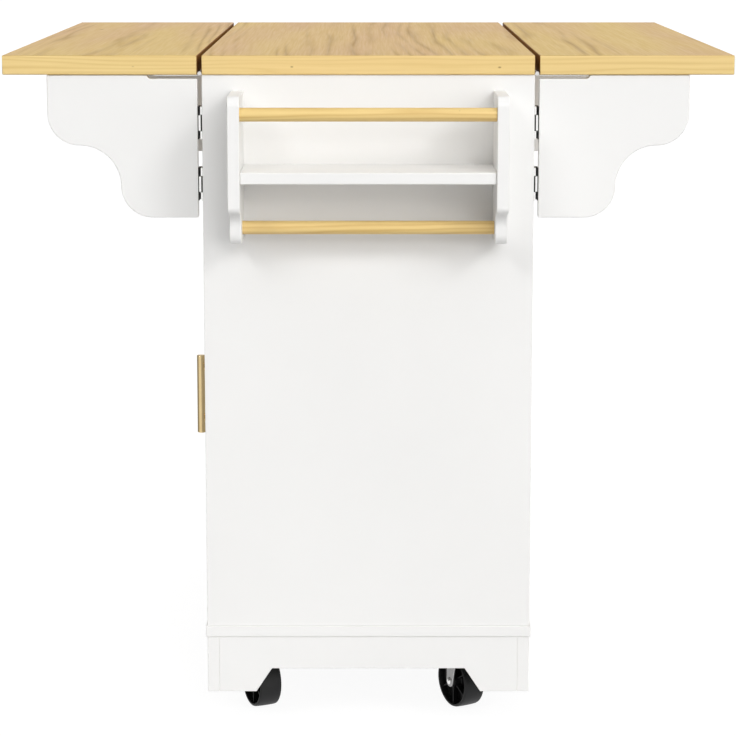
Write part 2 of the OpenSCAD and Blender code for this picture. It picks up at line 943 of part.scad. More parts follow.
module caster_fork(i) {
    out = fork_in / 2 + fork_t;
    color(steel)
        translate(caster_at(i))
            rotate([0, 0, trail_deg[i]]) {
                difference() {
                    union() {
                        span([-fork_back, -out, crown_z - fork_t], [fork_ahead, out, crown_z]);
                        for (s = [0, 1])
                            mirror([0, s, 0])
                                translate([0, out, 0])
                                    rotate([90, 0, 0]) linear_extrude(fork_t) leg_outline();
                    }
                    translate([0, 0, crown_z - fork_t - eps])
                        cylinder(h = fork_t + 2 * eps, d = swivel_pin_d + 2 * run_clear);
                    translate([trail, out + eps, wheel_r])
                        rotate([90, 0, 0])
                            cylinder(h = 2 * out + 2 * eps, d = axle_d + 2 * run_clear);
                }
                axle_bolt(out + run_clear);
            }
}

// Half of a wheel's section: x is the radius, y the distance from its middle plane. The tread is
// a thin shell round a deep dish
module wheel_section() {
    bore_r = axle_d / 2 + run_clear;
    hub_half = fork_in / 2 - hub_gap;
    web_half = wheel_w / 2 - dish_depth;
    polygon([
        [bore_r, 0], [bore_r, hub_half], [hub_r, hub_half],
        [hub_r + 1, web_half], [rim_r - 2, web_half], [rim_r, wheel_w / 2],
        [wheel_r - 2.4, wheel_w / 2], [wheel_r - 0.7, wheel_w / 2 - 1.7],
        [wheel_r, wheel_w / 2 - 5], [wheel_r, 0]
    ]);
}

module wheel_ribs() {
    rib_half = wheel_w / 2 - 3;
    for (a = [30:60:330])
        rotate([0, 0, a]) span([hub_r - 1, -rib_t / 2, -rib_half], [rim_r, rib_t / 2, rib_half]);
}

module caster_wheel(i) {
    color(black)
        translate(caster_at(i))
            rotate([0, 0, trail_deg[i]])
                translate([trail, 0, wheel_r])
                    rotate([90, 0, 0]) {
                        rotate_extrude() wheel_section();
                        mirror([0, 0, 1]) rotate_extrude() wheel_section();
                        wheel_ribs();
                    }
}

worktop_middle();
leaf(-1);  // leaf_front
leaf(1);  // leaf_back
leaf_hinge_fixed_flaps();
leaf_hinge_flaps(-1);  // leaf_hinge_front_flaps
leaf_hinge_flaps(1);  // leaf_hinge_back_flaps
end_panel(-1);  // end_panel_near
end_panel(1);  // end_panel_far
back_panel();
base_board();
divider(-1);  // divider_near
divider(1);  // divider_far
front_panel(-1);  // front_panel_near
front_panel(1);  // front_panel_far
drawer_deck();
plinth_long(-1);  // plinth_front
plinth_long(1);  // plinth_back
plinth_end(-1);  // plinth_end_near
plinth_end(1);  // plinth_end_far
side_shelf(-1);  // shelf_near
side_shelf(1);  // shelf_far
shelf_middle();
shelf_pins();
rack_side(-1);  // rack_side_left
rack_side(1);  // rack_side_right
rack_shelf();
rack_rod(rod_high_out, rod_high_z);  // rack_rod_upper
rack_rod(rod_low_out, rod_low_z);  // rack_rod_lower
bracket(-1, -1);  // bracket_front_near
bracket(-1, 1);  // bracket_front_far
bracket(1, -1);  // bracket_back_near
bracket(1, 1);  // bracket_back_far
bracket_hinge_fixed_flaps();
bracket_flaps(-1, -1);  // bracket_flaps_front_near
bracket_flaps(-1, 1);  // bracket_flaps_front_far
bracket_flaps(1, -1);  // bracket_flaps_back_near
bracket_flaps(1, 1);  // bracket_flaps_back_far
door(-1);  // door_near
door(1);  // door_far
door_handle(-1);  // door_handle_near
door_handle(1);  // door_handle_far
door_pivot_bushes();
door_pivot_pins(-1);  // door_pivot_pins_near
door_pivot_pins(1);  // door_pivot_pins_far
drawer_front();
drawer_box();
drawer_handle();
drawer_slides_fixed();
drawer_slides_moving();
caster_blocks();
caster_plates();
caster_screws();
caster_fork(0);  // caster_fork_front_near
caster_fork(1);  // caster_fork_back_near
caster_fork(2);  // caster_fork_front_far
caster_fork(3);  // caster_fork_back_far
caster_wheel(0);  // caster_wheel_front_near
caster_wheel(1);  // caster_wheel_back_near
caster_wheel(2);  // caster_wheel_front_far
caster_wheel(3);  // caster_wheel_back_far
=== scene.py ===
# %% [markdown]
# # A rolling serving cart, dressed around its imported model
# The cart is already drawn to size: boards, hinges, rods and casters, each on the body that it moves
# with. Here those shapes get the small things that make them look made: eased edges, wood figure,
# a sprayed paint film, pressed steel and moulded rubber. The imported model comes in first, because
# every piece below is fitted to it.

# %% Load the imported cart
import json
import math

import bmesh
import bpy
from mathutils import Matrix, Vector

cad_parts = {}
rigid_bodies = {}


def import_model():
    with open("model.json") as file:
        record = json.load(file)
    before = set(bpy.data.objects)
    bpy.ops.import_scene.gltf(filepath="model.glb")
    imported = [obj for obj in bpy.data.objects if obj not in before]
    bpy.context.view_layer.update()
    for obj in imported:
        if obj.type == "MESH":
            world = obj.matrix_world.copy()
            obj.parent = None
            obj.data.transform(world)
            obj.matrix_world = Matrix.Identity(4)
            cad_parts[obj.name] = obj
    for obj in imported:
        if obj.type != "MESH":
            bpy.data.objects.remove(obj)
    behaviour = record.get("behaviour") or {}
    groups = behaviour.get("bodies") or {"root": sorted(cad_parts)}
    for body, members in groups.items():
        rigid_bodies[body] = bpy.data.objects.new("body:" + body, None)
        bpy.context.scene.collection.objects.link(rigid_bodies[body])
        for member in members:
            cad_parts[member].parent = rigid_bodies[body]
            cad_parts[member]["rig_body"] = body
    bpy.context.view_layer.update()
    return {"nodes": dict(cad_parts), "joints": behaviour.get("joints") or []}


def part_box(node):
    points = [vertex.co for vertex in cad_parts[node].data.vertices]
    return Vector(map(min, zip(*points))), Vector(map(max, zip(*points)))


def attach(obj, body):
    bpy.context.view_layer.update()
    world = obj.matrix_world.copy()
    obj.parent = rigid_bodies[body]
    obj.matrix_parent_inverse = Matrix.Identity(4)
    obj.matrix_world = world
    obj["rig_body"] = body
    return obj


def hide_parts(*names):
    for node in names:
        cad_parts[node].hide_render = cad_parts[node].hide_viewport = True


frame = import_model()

MM = 0.001
scene = bpy.context.scene
scene.view_settings.view_transform = "Standard"

# %% [markdown]
# ## Camera
# The picture looks straight at the rack end from a little above the worktop, through a long lens.
# Its upright lines are parallel, which a shifted lens does, but a large shift would push the cart out
# of every other view. So the camera leans down by nine degrees and keeps only a small shift.

# %% Set the camera
LENS = 117.78
LENS_SHIFT = -0.11
CAMERA_PLACE = (-0.0004, -3.598, 1.128)
CAMERA_LEAN = 9.04

camera_data = bpy.data.cameras.new("picture_camera")
camera_data.sensor_width = 36
camera_data.lens = LENS
camera_data.shift_y = LENS_SHIFT
camera_data.clip_end = 100
camera = bpy.data.objects.new("picture_camera", camera_data)
camera.location = CAMERA_PLACE
camera.rotation_euler = (math.radians(90 - CAMERA_LEAN), 0, 0)
scene.collection.objects.link(camera)
scene.camera = camera
print("camera at", [round(v, 3) for v in camera.location], "with a lens of", camera_data.lens, "mm")

# %% [markdown]
# ## Building node trees
# A material is a tree of nodes. One short helper adds a node, sets its traits and feeds its inputs,
# each with a plain value or with the output of another node, so a tree reads from top to bottom.


# %% Helpers for node trees
def add_node(tree, kind, feeds=None, **traits):
    """Adds a shader node; feeds gives its inputs by name or number."""
    node = tree.nodes.new("ShaderNode" + kind)
    for trait, value in traits.items():
        setattr(node, trait, value)
    for key, value in (feeds or {}).items():
        if isinstance(value, bpy.types.NodeSocket):
            tree.links.new(value, node.inputs[key])
        else:
            node.inputs[key].default_value = value
    return node


def calculate(tree, operation, *values):
    """The result of a Math node."""
    return add_node(tree, "Math", dict(enumerate(values)), operation=operation).outputs[0]


def remap(tree, value, old_low, old_high, new_low=0.0, new_high=1.0):
    """A value moved from one range to another, and held inside the new one."""
    feeds = {0: value, 1: old_low, 2: old_high, 3: new_low, 4: new_high}
    return add_node(tree, "MapRange", feeds).outputs[0]


def mix_colours(tree, factor, first, second, blend="MIX"):
    """Two colours mixed, or laid over each other, by a factor."""
    feeds = {0: factor, 6: first, 7: second}
    return add_node(tree, "Mix", feeds, data_type="RGBA", blend_type=blend).outputs[2]


def stretch(tree, vector, scale):
    """A vector with its three parts scaled."""
    return add_node(tree, "VectorMath", {0: vector, 1: scale}, operation="MULTIPLY").outputs[0]


def noise(tree, vector, scale, detail=2.0, roughness=0.5):
    """The grey value of a Noise texture."""
    feeds = {"Vector": vector, "Scale": scale, "Detail": detail, "Roughness": roughness}
    return add_node(tree, "TexNoise", feeds).outputs[0]


def facing(tree, heading, side):
    """How squarely a level heading points to a side: 1 straight at it, 0 across it."""
    feeds = {0: heading, 1: side}
    return add_node(tree, "VectorMath", feeds, operation="DOT_PRODUCT").outputs["Value"]


# %% [markdown]
# ## Studio
# The picture was made in a bright white studio, and its shadows say where the light stood. The rack's
# shadow falls to the left and down by almost as much as the rack is deep, and under the shelf it is
# darkest beside the right plate. A strip 40 degrees up, lower lamps on the right and a broad one
# overhead give those shades. Each lamp was tried alone, and their shares were then balanced until
# the end panel's shades came close. They are suns, because suns light the top and the foot alike.
# A weak wide sun and the air behind keep the far side readable in other views, and that sun and the
# overhead one leave no highlight. Camera rays see plain white. For mirror rays the air keeps a
# gradient, a dark card stands on the right and a grey screen behind on the left, as photographers
# place them: without them polished metal looks like paint.

# %% Plan the studio
# Each lamp: the direction that it stands in, its share, and its softness in degrees
LAMPS = {
    "strip_left": ((-0.7, -1.0, 0.87), 0.415, 16),
    "strip_middle": ((0.6, -1.0, 0.87), 0.094, 16),
    "strip_right": ((1.0, -1.0, 0.87), 0.500, 16),
    "raised_front": ((0.2, -1.0, 0.45), 0.502, 20),
    "low_right": ((0.5, -1.0, 0.12), 0.438, 30),
    "low_far_right": ((1.2, -1.0, 0.20), 0.313, 30),
    "overhead": ((0.0, -0.35, 1.0), 0.880, 60),
    "door_side_fill": ((-1.0, 0.55, 0.30), 0.36, 60),
}
NO_HIGHLIGHT = ("door_side_fill", "overhead")
BACK_AIR = 0.75
CARD_SIDE = (0.73, -0.68, 0)
CARD_EDGE = (0.90, 0.955)
CARD_TONE = 0.04
SCREEN_SIDE = (-0.944, 0.33, 0)
SCREEN_EDGE = (0.60, 0.90)
SCREEN_TONE = 0.32
print("lamps:", list(LAMPS))

# %% Colour the air
world = bpy.data.worlds.new("studio_air")
world.use_nodes = True
scene.world = world
air = world.node_tree
air.nodes.clear()
compass = add_node(air, "TexCoord").outputs["Generated"]
split = add_node(air, "SeparateXYZ", {0: compass})
behind = remap(air, split.outputs["Y"], 0.0, 0.6, 0.0, BACK_AIR)
by_height = remap(air, split.outputs["Z"], 0.05, 0.9, 1.0, 0.5)
level_part = stretch(air, compass, (1, 1, 0))
heading = add_node(air, "VectorMath", {0: level_part}, operation="NORMALIZE").outputs[0]
card = remap(air, facing(air, heading, CARD_SIDE), *CARD_EDGE, 1.0, CARD_TONE)
screen = remap(air, facing(air, heading, SCREEN_SIDE), *SCREEN_EDGE, 1.0, SCREEN_TONE)
rays = add_node(air, "LightPath")
mirrored = calculate(air, "MAXIMUM", rays.outputs["Is Glossy Ray"], rays.outputs["Is Transmission Ray"])
polished = calculate(air, "MULTIPLY", calculate(air, "MULTIPLY", by_height, screen), card)
strength = add_node(air, "Mix", {0: mirrored, 2: behind, 3: polished}).outputs[0]
seen = calculate(air, "MAXIMUM", strength, rays.outputs["Is Camera Ray"])
glow = add_node(air, "Background", {"Color": (1, 1, 1, 1), "Strength": seen})
add_node(air, "OutputWorld", {"Surface": glow.outputs[0]})
print("the air's nodes:", len(air.nodes))


# %% Hang the suns
def add_sun(name, towards, share, softness):
    """A sun in a direction from the cart; share is its light on the side that its part of 1 faces."""
    towards = Vector(towards)
    lamp = bpy.data.lights.new(name, "SUN")
    lamp.energy = share * towards.length
    lamp.angle = math.radians(softness)
    sun = bpy.data.objects.new(name, lamp)
    sun.rotation_euler = towards.to_track_quat("Z", "Y").to_euler()
    scene.collection.objects.link(sun)
    return sun


for name, (towards, share, softness) in LAMPS.items():
    sun = add_sun(name, towards, share, softness)
    sun.visible_glossy = name not in NO_HIGHLIGHT
print("lit by", len(LAMPS), "suns and the air behind")

# %% [markdown]
# ## Floor
# The studio floor runs out of sight and is as white as the air behind it. Its own colour carries the
# cart's shadow, and a glow that only the camera and mirrors see lifts it to white. Bounced light
# meets a paler colour, so the floor lights the plinth from below. Mirrors also see the feet of the
# card and the screen on it, as dark wedges that start a step away from the cart.

# %% Colour the floor
FLOOR_TONE = 0.14
FLOOR_GLOW = 0.92
BOUNCE = 0.60
WEDGE_SHIFT = (0.25, 0.12, 0)
WEDGE_START = (0.6, 0.9)
WEDGE_DEPTH = 0.97
WEDGE_TONE = 0.01

floor_finish = bpy.data.materials.new("studio_floor")
floor_finish.use_nodes = True
tree = floor_finish.node_tree
tree.nodes.clear()
rays = add_node(tree, "LightPath")
seen = calculate(tree, "MAXIMUM", rays.outputs["Is Camera Ray"], rays.outputs["Is Glossy Ray"])
spot = add_node(tree, "TexCoord").outputs["Object"]
away = add_node(tree, "VectorMath", {0: spot, 1: WEDGE_SHIFT}, operation="ADD").outputs[0]
reach = add_node(tree, "VectorMath", {0: away}, operation="LENGTH").outputs["Value"]
heading = add_node(tree, "VectorMath", {0: away}, operation="NORMALIZE").outputs[0]
started = remap(tree, reach, *WEDGE_START)
card = remap(tree, facing(tree, heading, CARD_SIDE), *CARD_EDGE)
screen = remap(tree, facing(tree, heading, SCREEN_SIDE), *SCREEN_EDGE, 0.0, 1.0 - SCREEN_TONE)
wedge = calculate(tree, "MULTIPLY", calculate(tree, "MAXIMUM", card, screen), started)
dark = calculate(tree, "MULTIPLY", wedge, rays.outputs["Is Glossy Ray"])
lit = calculate(tree, "MULTIPLY_ADD", dark, -WEDGE_DEPTH, 1.0)
lift = calculate(tree, "MULTIPLY", calculate(tree, "MULTIPLY", seen, FLOOR_GLOW), lit)
tone = mix_colours(tree, seen, (BOUNCE, BOUNCE, BOUNCE, 1), (FLOOR_TONE, FLOOR_TONE, FLOOR_TONE, 1))
tone = mix_colours(tree, dark, tone, (WEDGE_TONE, WEDGE_TONE, WEDGE_TONE, 1))
matt = add_node(tree, "BsdfDiffuse", {"Color": tone})
lifted = add_node(tree, "Emission", {"Color": (1, 1, 1, 1), "Strength": lift})
both = add_node(tree, "AddShader", {0: matt.outputs[0], 1: lifted.outputs[0]})
add_node(tree, "OutputMaterial", {"Surface": both.outputs[0]})
print("the floor's nodes:", len(tree.nodes))

# %% Lay the floor
bm = bmesh.new()
bmesh.ops.create_grid(bm, x_segments=1, y_segments=1, size=40)
floor_mesh = bpy.data.meshes.new("studio_floor")
bm.to_mesh(floor_mesh)
bm.free()
floor_mesh.materials.append(floor_finish)
floor = bpy.data.objects.new("studio_floor", floor_mesh)
scene.collection.objects.link(floor)
print("floor laid at height 0")

# %% [markdown]
# ## Shared effects
# Each effect that several finishes use is a node group, built once: the figure of wood, the skin of
# sprayed paint, the grain of metal, and the rubbed edge. A group gives out masks and heights, and
# each material decides what colours and gloss to make of them. Wood figure comes from the contour
# lines of a noise that is drawn out along the board, because growth rings cut by a saw look so.


# %% A helper for groups
def new_group(name, inputs, outputs):
    """A shader group with named sockets, and its input and output nodes."""
    group = bpy.data.node_groups.new(name, "ShaderNodeTree")
    for socket, kind, value in inputs:
        made = group.interface.new_socket(socket, in_out="INPUT", socket_type="NodeSocket" + kind)
        if value is not None:
            made.default_value = value
    for socket in outputs:
        group.interface.new_socket(socket, in_out="OUTPUT", socket_type="NodeSocketFloat")
    return group, group.nodes.new("NodeGroupInput"), group.nodes.new("NodeGroupOutput")


def place_group(tree, group, feeds):
    """Puts a group into a material with its own values."""
    return add_node(tree, "Group", feeds, node_tree=group)


# %% Wood figure
RING_DRAW = (1.0, 0.075, 1.0)
PATCH_DRAW = (1.0, 0.14, 1.0)
FIBRE_DRAW = (1.0, 0.018, 1.0)
KNOT_DRAW = (1.0, 0.6, 1.0)
KNOT_SHARE = 0.55

inputs = [("Vector", "Vector", None), ("Seed", "Float", 0.0), ("Rings", "Float", 10.0)]
inputs += [("Ring Scale", "Float", 7.0), ("Knot Scale", "Float", 20.0)]
inputs += [("Lines", "Float", 34.0), ("Sparse", "Float", 0.47)]
outputs = ["Streaks", "Patches", "Knots", "Fibres"]
wood_figure, given, result = new_group("wood_figure", inputs, outputs)
shift = add_node(wood_figure, "VectorMath", {0: (3.1, 1.7, 0.9)}, operation="SCALE")
wood_figure.links.new(given.outputs["Seed"], shift.inputs["Scale"])
feeds = {0: given.outputs["Vector"], 1: shift.outputs[0]}
spot = add_node(wood_figure, "VectorMath", feeds, operation="ADD").outputs[0]
drawn_out = stretch(wood_figure, spot, RING_DRAW)
growth = noise(wood_figure, drawn_out, given.outputs["Ring Scale"], 2.5, 0.55)
across = add_node(wood_figure, "SeparateXYZ", {0: spot}).outputs["X"]
counted = calculate(wood_figure, "MULTIPLY", growth, given.outputs["Rings"])
counted = calculate(wood_figure, "MULTIPLY_ADD", across, given.outputs["Lines"], counted)
ridge = calculate(wood_figure, "MULTIPLY", calculate(wood_figure, "PINGPONG", counted, 0.5), 2.0)
ring = calculate(wood_figure, "POWER", ridge, 2.2)
strength = remap(wood_figure, noise(wood_figure, drawn_out, 15.0, 3.0), given.outputs["Sparse"], 0.66)
streaks = calculate(wood_figure, "MULTIPLY", ring, strength)
patches = noise(wood_figure, stretch(wood_figure, spot, PATCH_DRAW), 7.0)
fibres = noise(wood_figure, stretch(wood_figure, spot, FIBRE_DRAW), 420.0)
feeds = {"Vector": stretch(wood_figure, spot, KNOT_DRAW), "Scale": given.outputs["Knot Scale"]}
cells = add_node(wood_figure, "TexVoronoi", feeds)
core = remap(wood_figure, cells.outputs["Distance"], 0.030, 0.075, 1.0, 0.0)
lot = add_node(wood_figure, "SeparateColor", {0: cells.outputs["Color"]}).outputs[0]
drawn = calculate(wood_figure, "GREATER_THAN", lot, KNOT_SHARE)
knots = calculate(wood_figure, "MULTIPLY", core, drawn)
for socket, value in zip(outputs, (streaks, patches, knots, fibres)):
    wood_figure.links.new(value, result.inputs[socket])
print("wood figure group:", len(wood_figure.nodes), "nodes")

# %% Paint skin, metal grain and rubbed edges
paint_skin, given, result = new_group("paint_skin", [("Vector", "Vector", None)], ["Clouds", "Peel"])
clouds = noise(paint_skin, given.outputs["Vector"], 4.0, 3.0)
ripple = noise(paint_skin, given.outputs["Vector"], 420.0, 2.0, 0.4)
paint_skin.links.new(clouds, result.inputs["Clouds"])
paint_skin.links.new(ripple, result.inputs["Peel"])

inputs = [("Vector", "Vector", None), ("Brushing", "Vector", (1.0, 1.0, 1.0)), ("Scale", "Float", 900.0)]
metal_grain, given, result = new_group("metal_grain", inputs, ["Lines", "Stains"])
along = stretch(metal_grain, given.outputs["Vector"], given.outputs["Brushing"])
lines = noise(metal_grain, along, given.outputs["Scale"], 3.0, 0.6)
stains = noise(metal_grain, given.outputs["Vector"], 38.0, 4.0)
metal_grain.links.new(lines, result.inputs["Lines"])
metal_grain.links.new(stains, result.inputs["Stains"])

inputs = [("Vector", "Vector", None), ("Rim", "Float", 0.0), ("Amount", "Float", 0.5)]
rubbed_edge, given, result = new_group("rubbed_edge", inputs, ["Mask"])
broken = remap(rubbed_edge, noise(rubbed_edge, given.outputs["Vector"], 60.0, 3.0), 0.35, 0.65)
worn = calculate(rubbed_edge, "MULTIPLY", broken, given.outputs["Rim"])
faint = calculate(rubbed_edge, "MULTIPLY", worn, given.outputs["Amount"])
rubbed_edge.links.new(faint, result.inputs["Mask"])
print("shared groups:", [g.name for g in bpy.data.node_groups])

# %% [markdown]
# ## Finishes
# The worktop is light oak under a matt lacquer: its faces are a little pinker than the bands on its
# edges, whose grain runs with the edge. The edges that meet at the leaf joints are painted dark
# brown, a painted shade of the gap, so the gap reads as a line. The cabinet is sprayed in a warm
# white satin. The handles are brass, the running gear is zinc plated and the leaf hinges are nickel.
# The bracket hinges' flaps are painted near-black, a painted shade in their gaps, and their knuckle
# roots are bright nickel, a painted highlight there; the forks' bolt domes are bright nickel too.
# The wheels are black, and the doors' bushes are nylon. Every material reads object coordinates, so
# the pattern sits still on the piece when it moves. The rim attribute, which the edge helper below
# writes, marks the eased edges, where paint is thinner and metal is polished.


# %% Starting a material
def start_finish(name, metallic=0.0, specular=0.5):
    """A new material with its Principled shader, its coordinates and the rim mark of the piece."""
    material = bpy.data.materials.new(name)
    material.use_nodes = True
    tree = material.node_tree
    tree.nodes.clear()
    shader = add_node(tree, "BsdfPrincipled", {"Metallic": metallic, "Specular IOR Level": specular})
    add_node(tree, "OutputMaterial", {"Surface": shader.outputs[0]})
    place = add_node(tree, "TexCoord").outputs["Object"]
    rim = add_node(tree, "Attribute", attribute_name="rim").outputs["Fac"]
    return material, tree, shader, place, rim


def feed(tree, shader, socket, value):
    """Links a value into one of the shader's sockets."""
    tree.links.new(value, shader.inputs[socket])


def raise_surface(tree, shader, height, strength, distance):
    """Feeds the shader's Normal from a height."""
    feeds = {"Height": height, "Strength": strength, "Distance": distance}
    feed(tree, shader, "Normal", add_node(tree, "Bump", feeds).outputs[0])


# %% Plan the oaks
GRAIN_ORDER = {"Y": (0, 1, 2), "X": (2, 0, 1)}
KNOT_BROWN = (0.16, 0.075, 0.02, 1)
FACE_FIGURE = {"Rings": 10.0, "Ring Scale": 7.0, "Knot Scale": 14.0, "Lines": 34.0, "Sparse": 0.47}
BAND_FIGURE = {"Rings": 7.0, "Ring Scale": 20.0, "Knot Scale": 46.0, "Lines": 120.0, "Sparse": 0.25}
JOINT_FIGURE = {"Rings": 9.0, "Ring Scale": 26.0, "Knot Scale": 46.0, "Lines": 120.0, "Sparse": 0.25}
ROD_FIGURE = {"Rings": 5.0, "Ring Scale": 30.0, "Knot Scale": 60.0, "Lines": 150.0, "Sparse": 0.25}
PLAIN_FIGURE = {"Rings": 8.0, "Ring Scale": 9.0, "Knot Scale": 20.0, "Lines": 34.0, "Sparse": 0.47}
FACE_TONES = ((0.735, 0.525, 0.200), (0.685, 0.450, 0.235), (0.420, 0.245, 0.085))
BAND_TONES = ((0.830, 0.640, 0.285), (0.830, 0.595, 0.275), (0.600, 0.390, 0.120))
ROD_TONES = ((0.825, 0.610, 0.245), (0.820, 0.565, 0.255), (0.560, 0.330, 0.080))
# Dark tones for the joint edges: they paint the shade in the gap between the boards
JOINT_SHADE_TONES = ((0.370, 0.170, 0.042), (0.320, 0.145, 0.036), (0.180, 0.080, 0.020))
PLAIN_TONES = ((0.700, 0.540, 0.330), (0.680, 0.510, 0.310), (0.480, 0.330, 0.180))
print("ring factors:", FACE_FIGURE["Rings"], "on the faces and", BAND_FIGURE["Rings"], "on the bands")


# %% Make the oaks
def make_oak(name, grain, tones, figure_plan, seed, contrast=0.8, gloss=0.05):
    """Lacquered oak whose grain runs along an axis: tones are its pale, its blush and its dark."""
    material, tree, shader, place, _ = start_finish(name, specular=gloss)
    parts = add_node(tree, "SeparateXYZ", {0: place})
    order = [parts.outputs[i] for i in GRAIN_ORDER[grain]]
    turned = add_node(tree, "CombineXYZ", dict(enumerate(order))).outputs[0]
    figure = place_group(tree, wood_figure, {"Vector": turned, "Seed": seed, **figure_plan})
    pale, blush, dark = [(*tone, 1) for tone in tones]
    patch = remap(tree, figure.outputs["Patches"], 0.36, 0.64)
    colour = mix_colours(tree, patch, pale, blush)
    streak = calculate(tree, "MULTIPLY", figure.outputs["Streaks"], contrast)
    colour = mix_colours(tree, streak, colour, dark)
    fibre = remap(tree, figure.outputs["Fibres"], 0.35, 0.65, 0.0, 0.11)
    colour = mix_colours(tree, fibre, colour, dark)
    knot = calculate(tree, "MULTIPLY", figure.outputs["Knots"], 0.60)
    colour = mix_colours(tree, knot, colour, KNOT_BROWN)
    feed(tree, shader, "Base Color", colour)
    feed(tree, shader, "Roughness", remap(tree, figure.outputs["Fibres"], 0.3, 0.7, 0.42, 0.56))
    raise_surface(tree, shader, figure.outputs["Fibres"], 0.18, 0.25 * MM)
    return material


oak_faces = {
    "middle": make_oak("oak_face_middle", "Y", FACE_TONES, FACE_FIGURE, 1.0),
    "front": make_oak("oak_face_front", "Y", FACE_TONES, FACE_FIGURE, 2.3),
    "back": make_oak("oak_face_back", "Y", FACE_TONES, FACE_FIGURE, 4.1),
}
oak_end_band = make_oak("oak_end_band", "X", BAND_TONES, BAND_FIGURE, 3.0, contrast=0.6)
oak_long_band = make_oak("oak_long_band", "Y", BAND_TONES, BAND_FIGURE, 5.0, contrast=0.6)
# The joint edges' finish paints the shade in the gap dark brown
oak_joint_painted_shade = make_oak("oak_joint_painted_shade", "Y", JOINT_SHADE_TONES, JOINT_FIGURE, 9.0, contrast=0.5)
oak_rod = make_oak("oak_rod", "X", ROD_TONES, ROD_FIGURE, 6.0, contrast=0.85, gloss=0.45)
box_wood_x = make_oak("drawer_wood_across", "X", PLAIN_TONES, PLAIN_FIGURE, 7.0, contrast=0.6)
box_wood_y = make_oak("drawer_wood_along", "Y", PLAIN_TONES, PLAIN_FIGURE, 8.0, contrast=0.6)
print("oak finishes:", [m.name for m in bpy.data.materials if "oak" in m.name or "wood" in m.name])


# %% White paint
def make_paint(name, tone, roughness):
    """Sprayed satin paint: a faint orange peel, slow clouds in its gloss, and thinner on the rims."""
    material, tree, shader, place, rim = start_finish(name, specular=0.42)
    skin = place_group(tree, paint_skin, {"Vector": place})
    shaded = tuple(0.975 * part for part in tone)
    colour = mix_colours(tree, remap(tree, skin.outputs["Clouds"], 0.3, 0.7), (*tone, 1), (*shaded, 1))
    thin = place_group(tree, rubbed_edge, {"Vector": place, "Rim": rim, "Amount": 0.5})
    warmer = (tone[0], tone[1] * 0.985, tone[2] * 0.95, 1)
    feed(tree, shader, "Base Color", mix_colours(tree, thin.outputs["Mask"], colour, warmer))
    gloss = remap(tree, skin.outputs["Clouds"], 0.3, 0.7, roughness - 0.04, roughness + 0.04)
    feed(tree, shader, "Roughness", calculate(tree, "MULTIPLY_ADD", rim, -0.08, gloss))
    raise_surface(tree, shader, skin.outputs["Peel"], 0.10, 0.12 * MM)
    return material


white_paint = make_paint("white_satin_paint", (0.868, 0.863, 0.850), 0.42)
inner_white = make_paint("white_board_inside", (0.840, 0.834, 0.818), 0.50)
print("paints:", white_paint.name, "and", inner_white.name)


# %% Metals
EVEN = (1.0, 1.0, 1.0)
ALONG_Z = (1.0, 1.0, 0.2)
FINE_ALONG_Z = (1.0, 1.0, 0.03)
FINE_ALONG_Y = (1.0, 0.03, 1.0)


def make_metal(name, tones, roughness, brushing, scale, polish=0.10):
    """Plated or brushed metal: fine lines, slow stains in its gloss, and brighter rims."""
    material, tree, shader, place, rim = start_finish(name, metallic=1.0)
    grain = place_group(tree, metal_grain, {"Vector": place, "Brushing": brushing, "Scale": scale})
    stain = remap(tree, grain.outputs["Stains"], 0.3, 0.7)
    colour = mix_colours(tree, stain, (*tones[0], 1), (*tones[1], 1))
    rub = place_group(tree, rubbed_edge, {"Vector": place, "Rim": rim, "Amount": 0.7})
    feed(tree, shader, "Base Color", mix_colours(tree, rub.outputs["Mask"], colour, (*tones[2], 1)))
    gloss = remap(tree, grain.outputs["Lines"], 0.3, 0.7, roughness - 0.05, roughness + 0.05)
    smudged = calculate(tree, "MULTIPLY_ADD", stain, 0.06, gloss)
    feed(tree, shader, "Roughness", calculate(tree, "MULTIPLY_ADD", rim, -polish, smudged))
    raise_surface(tree, shader, grain.outputs["Lines"], 0.05, 0.1 * MM)
    return material


BRASS_TONES = ((0.740, 0.580, 0.315), (0.690, 0.525, 0.270), (0.850, 0.700, 0.420))
ZINC_TONES = ((0.430, 0.426, 0.420), (0.350, 0.348, 0.345), (0.640, 0.640, 0.640))
NICKEL_TONES = ((0.720, 0.710, 0.690), (0.640, 0.630, 0.610), (0.820, 0.810, 0.800))
# The bright tones give the bracket hinges' roots a painted highlight and the bolt domes bright metal; the
# near-black tones paint the shade on the bracket hinges' flaps in their gaps
BRIGHT_TONES = ((0.920, 0.915, 0.900), (0.860, 0.855, 0.845), (0.950, 0.945, 0.935))
STEEL_SHADE_TONES = ((0.040, 0.039, 0.038), (0.026, 0.026, 0.025), (0.070, 0.068, 0.066))
brass_upright = make_metal("brass_upright", BRASS_TONES, 0.10, FINE_ALONG_Z, 1500.0, 0.03)
brass_level = make_metal("brass_level", BRASS_TONES, 0.10, FINE_ALONG_Y, 1500.0, 0.03)
zinc = make_metal("zinc_plated_steel", ZINC_TONES, 0.40, EVEN, 300.0)
nickel = make_metal("nickel_plated_steel", NICKEL_TONES, 0.22, ALONG_Z, 600.0)
# Bright nickel: a painted highlight on the hinge roots and plain bright metal on the bolt domes; the
# near-black steel paints the shade on the bracket hinges' flaps
bright_nickel_and_painted_highlight = make_metal("bright_nickel_and_painted_highlight", BRIGHT_TONES, 0.16, ALONG_Z, 600.0)
steel_painted_shade = make_metal("steel_painted_shade", STEEL_SHADE_TONES, 0.38, ALONG_Z, 500.0)
print("metals: 6")


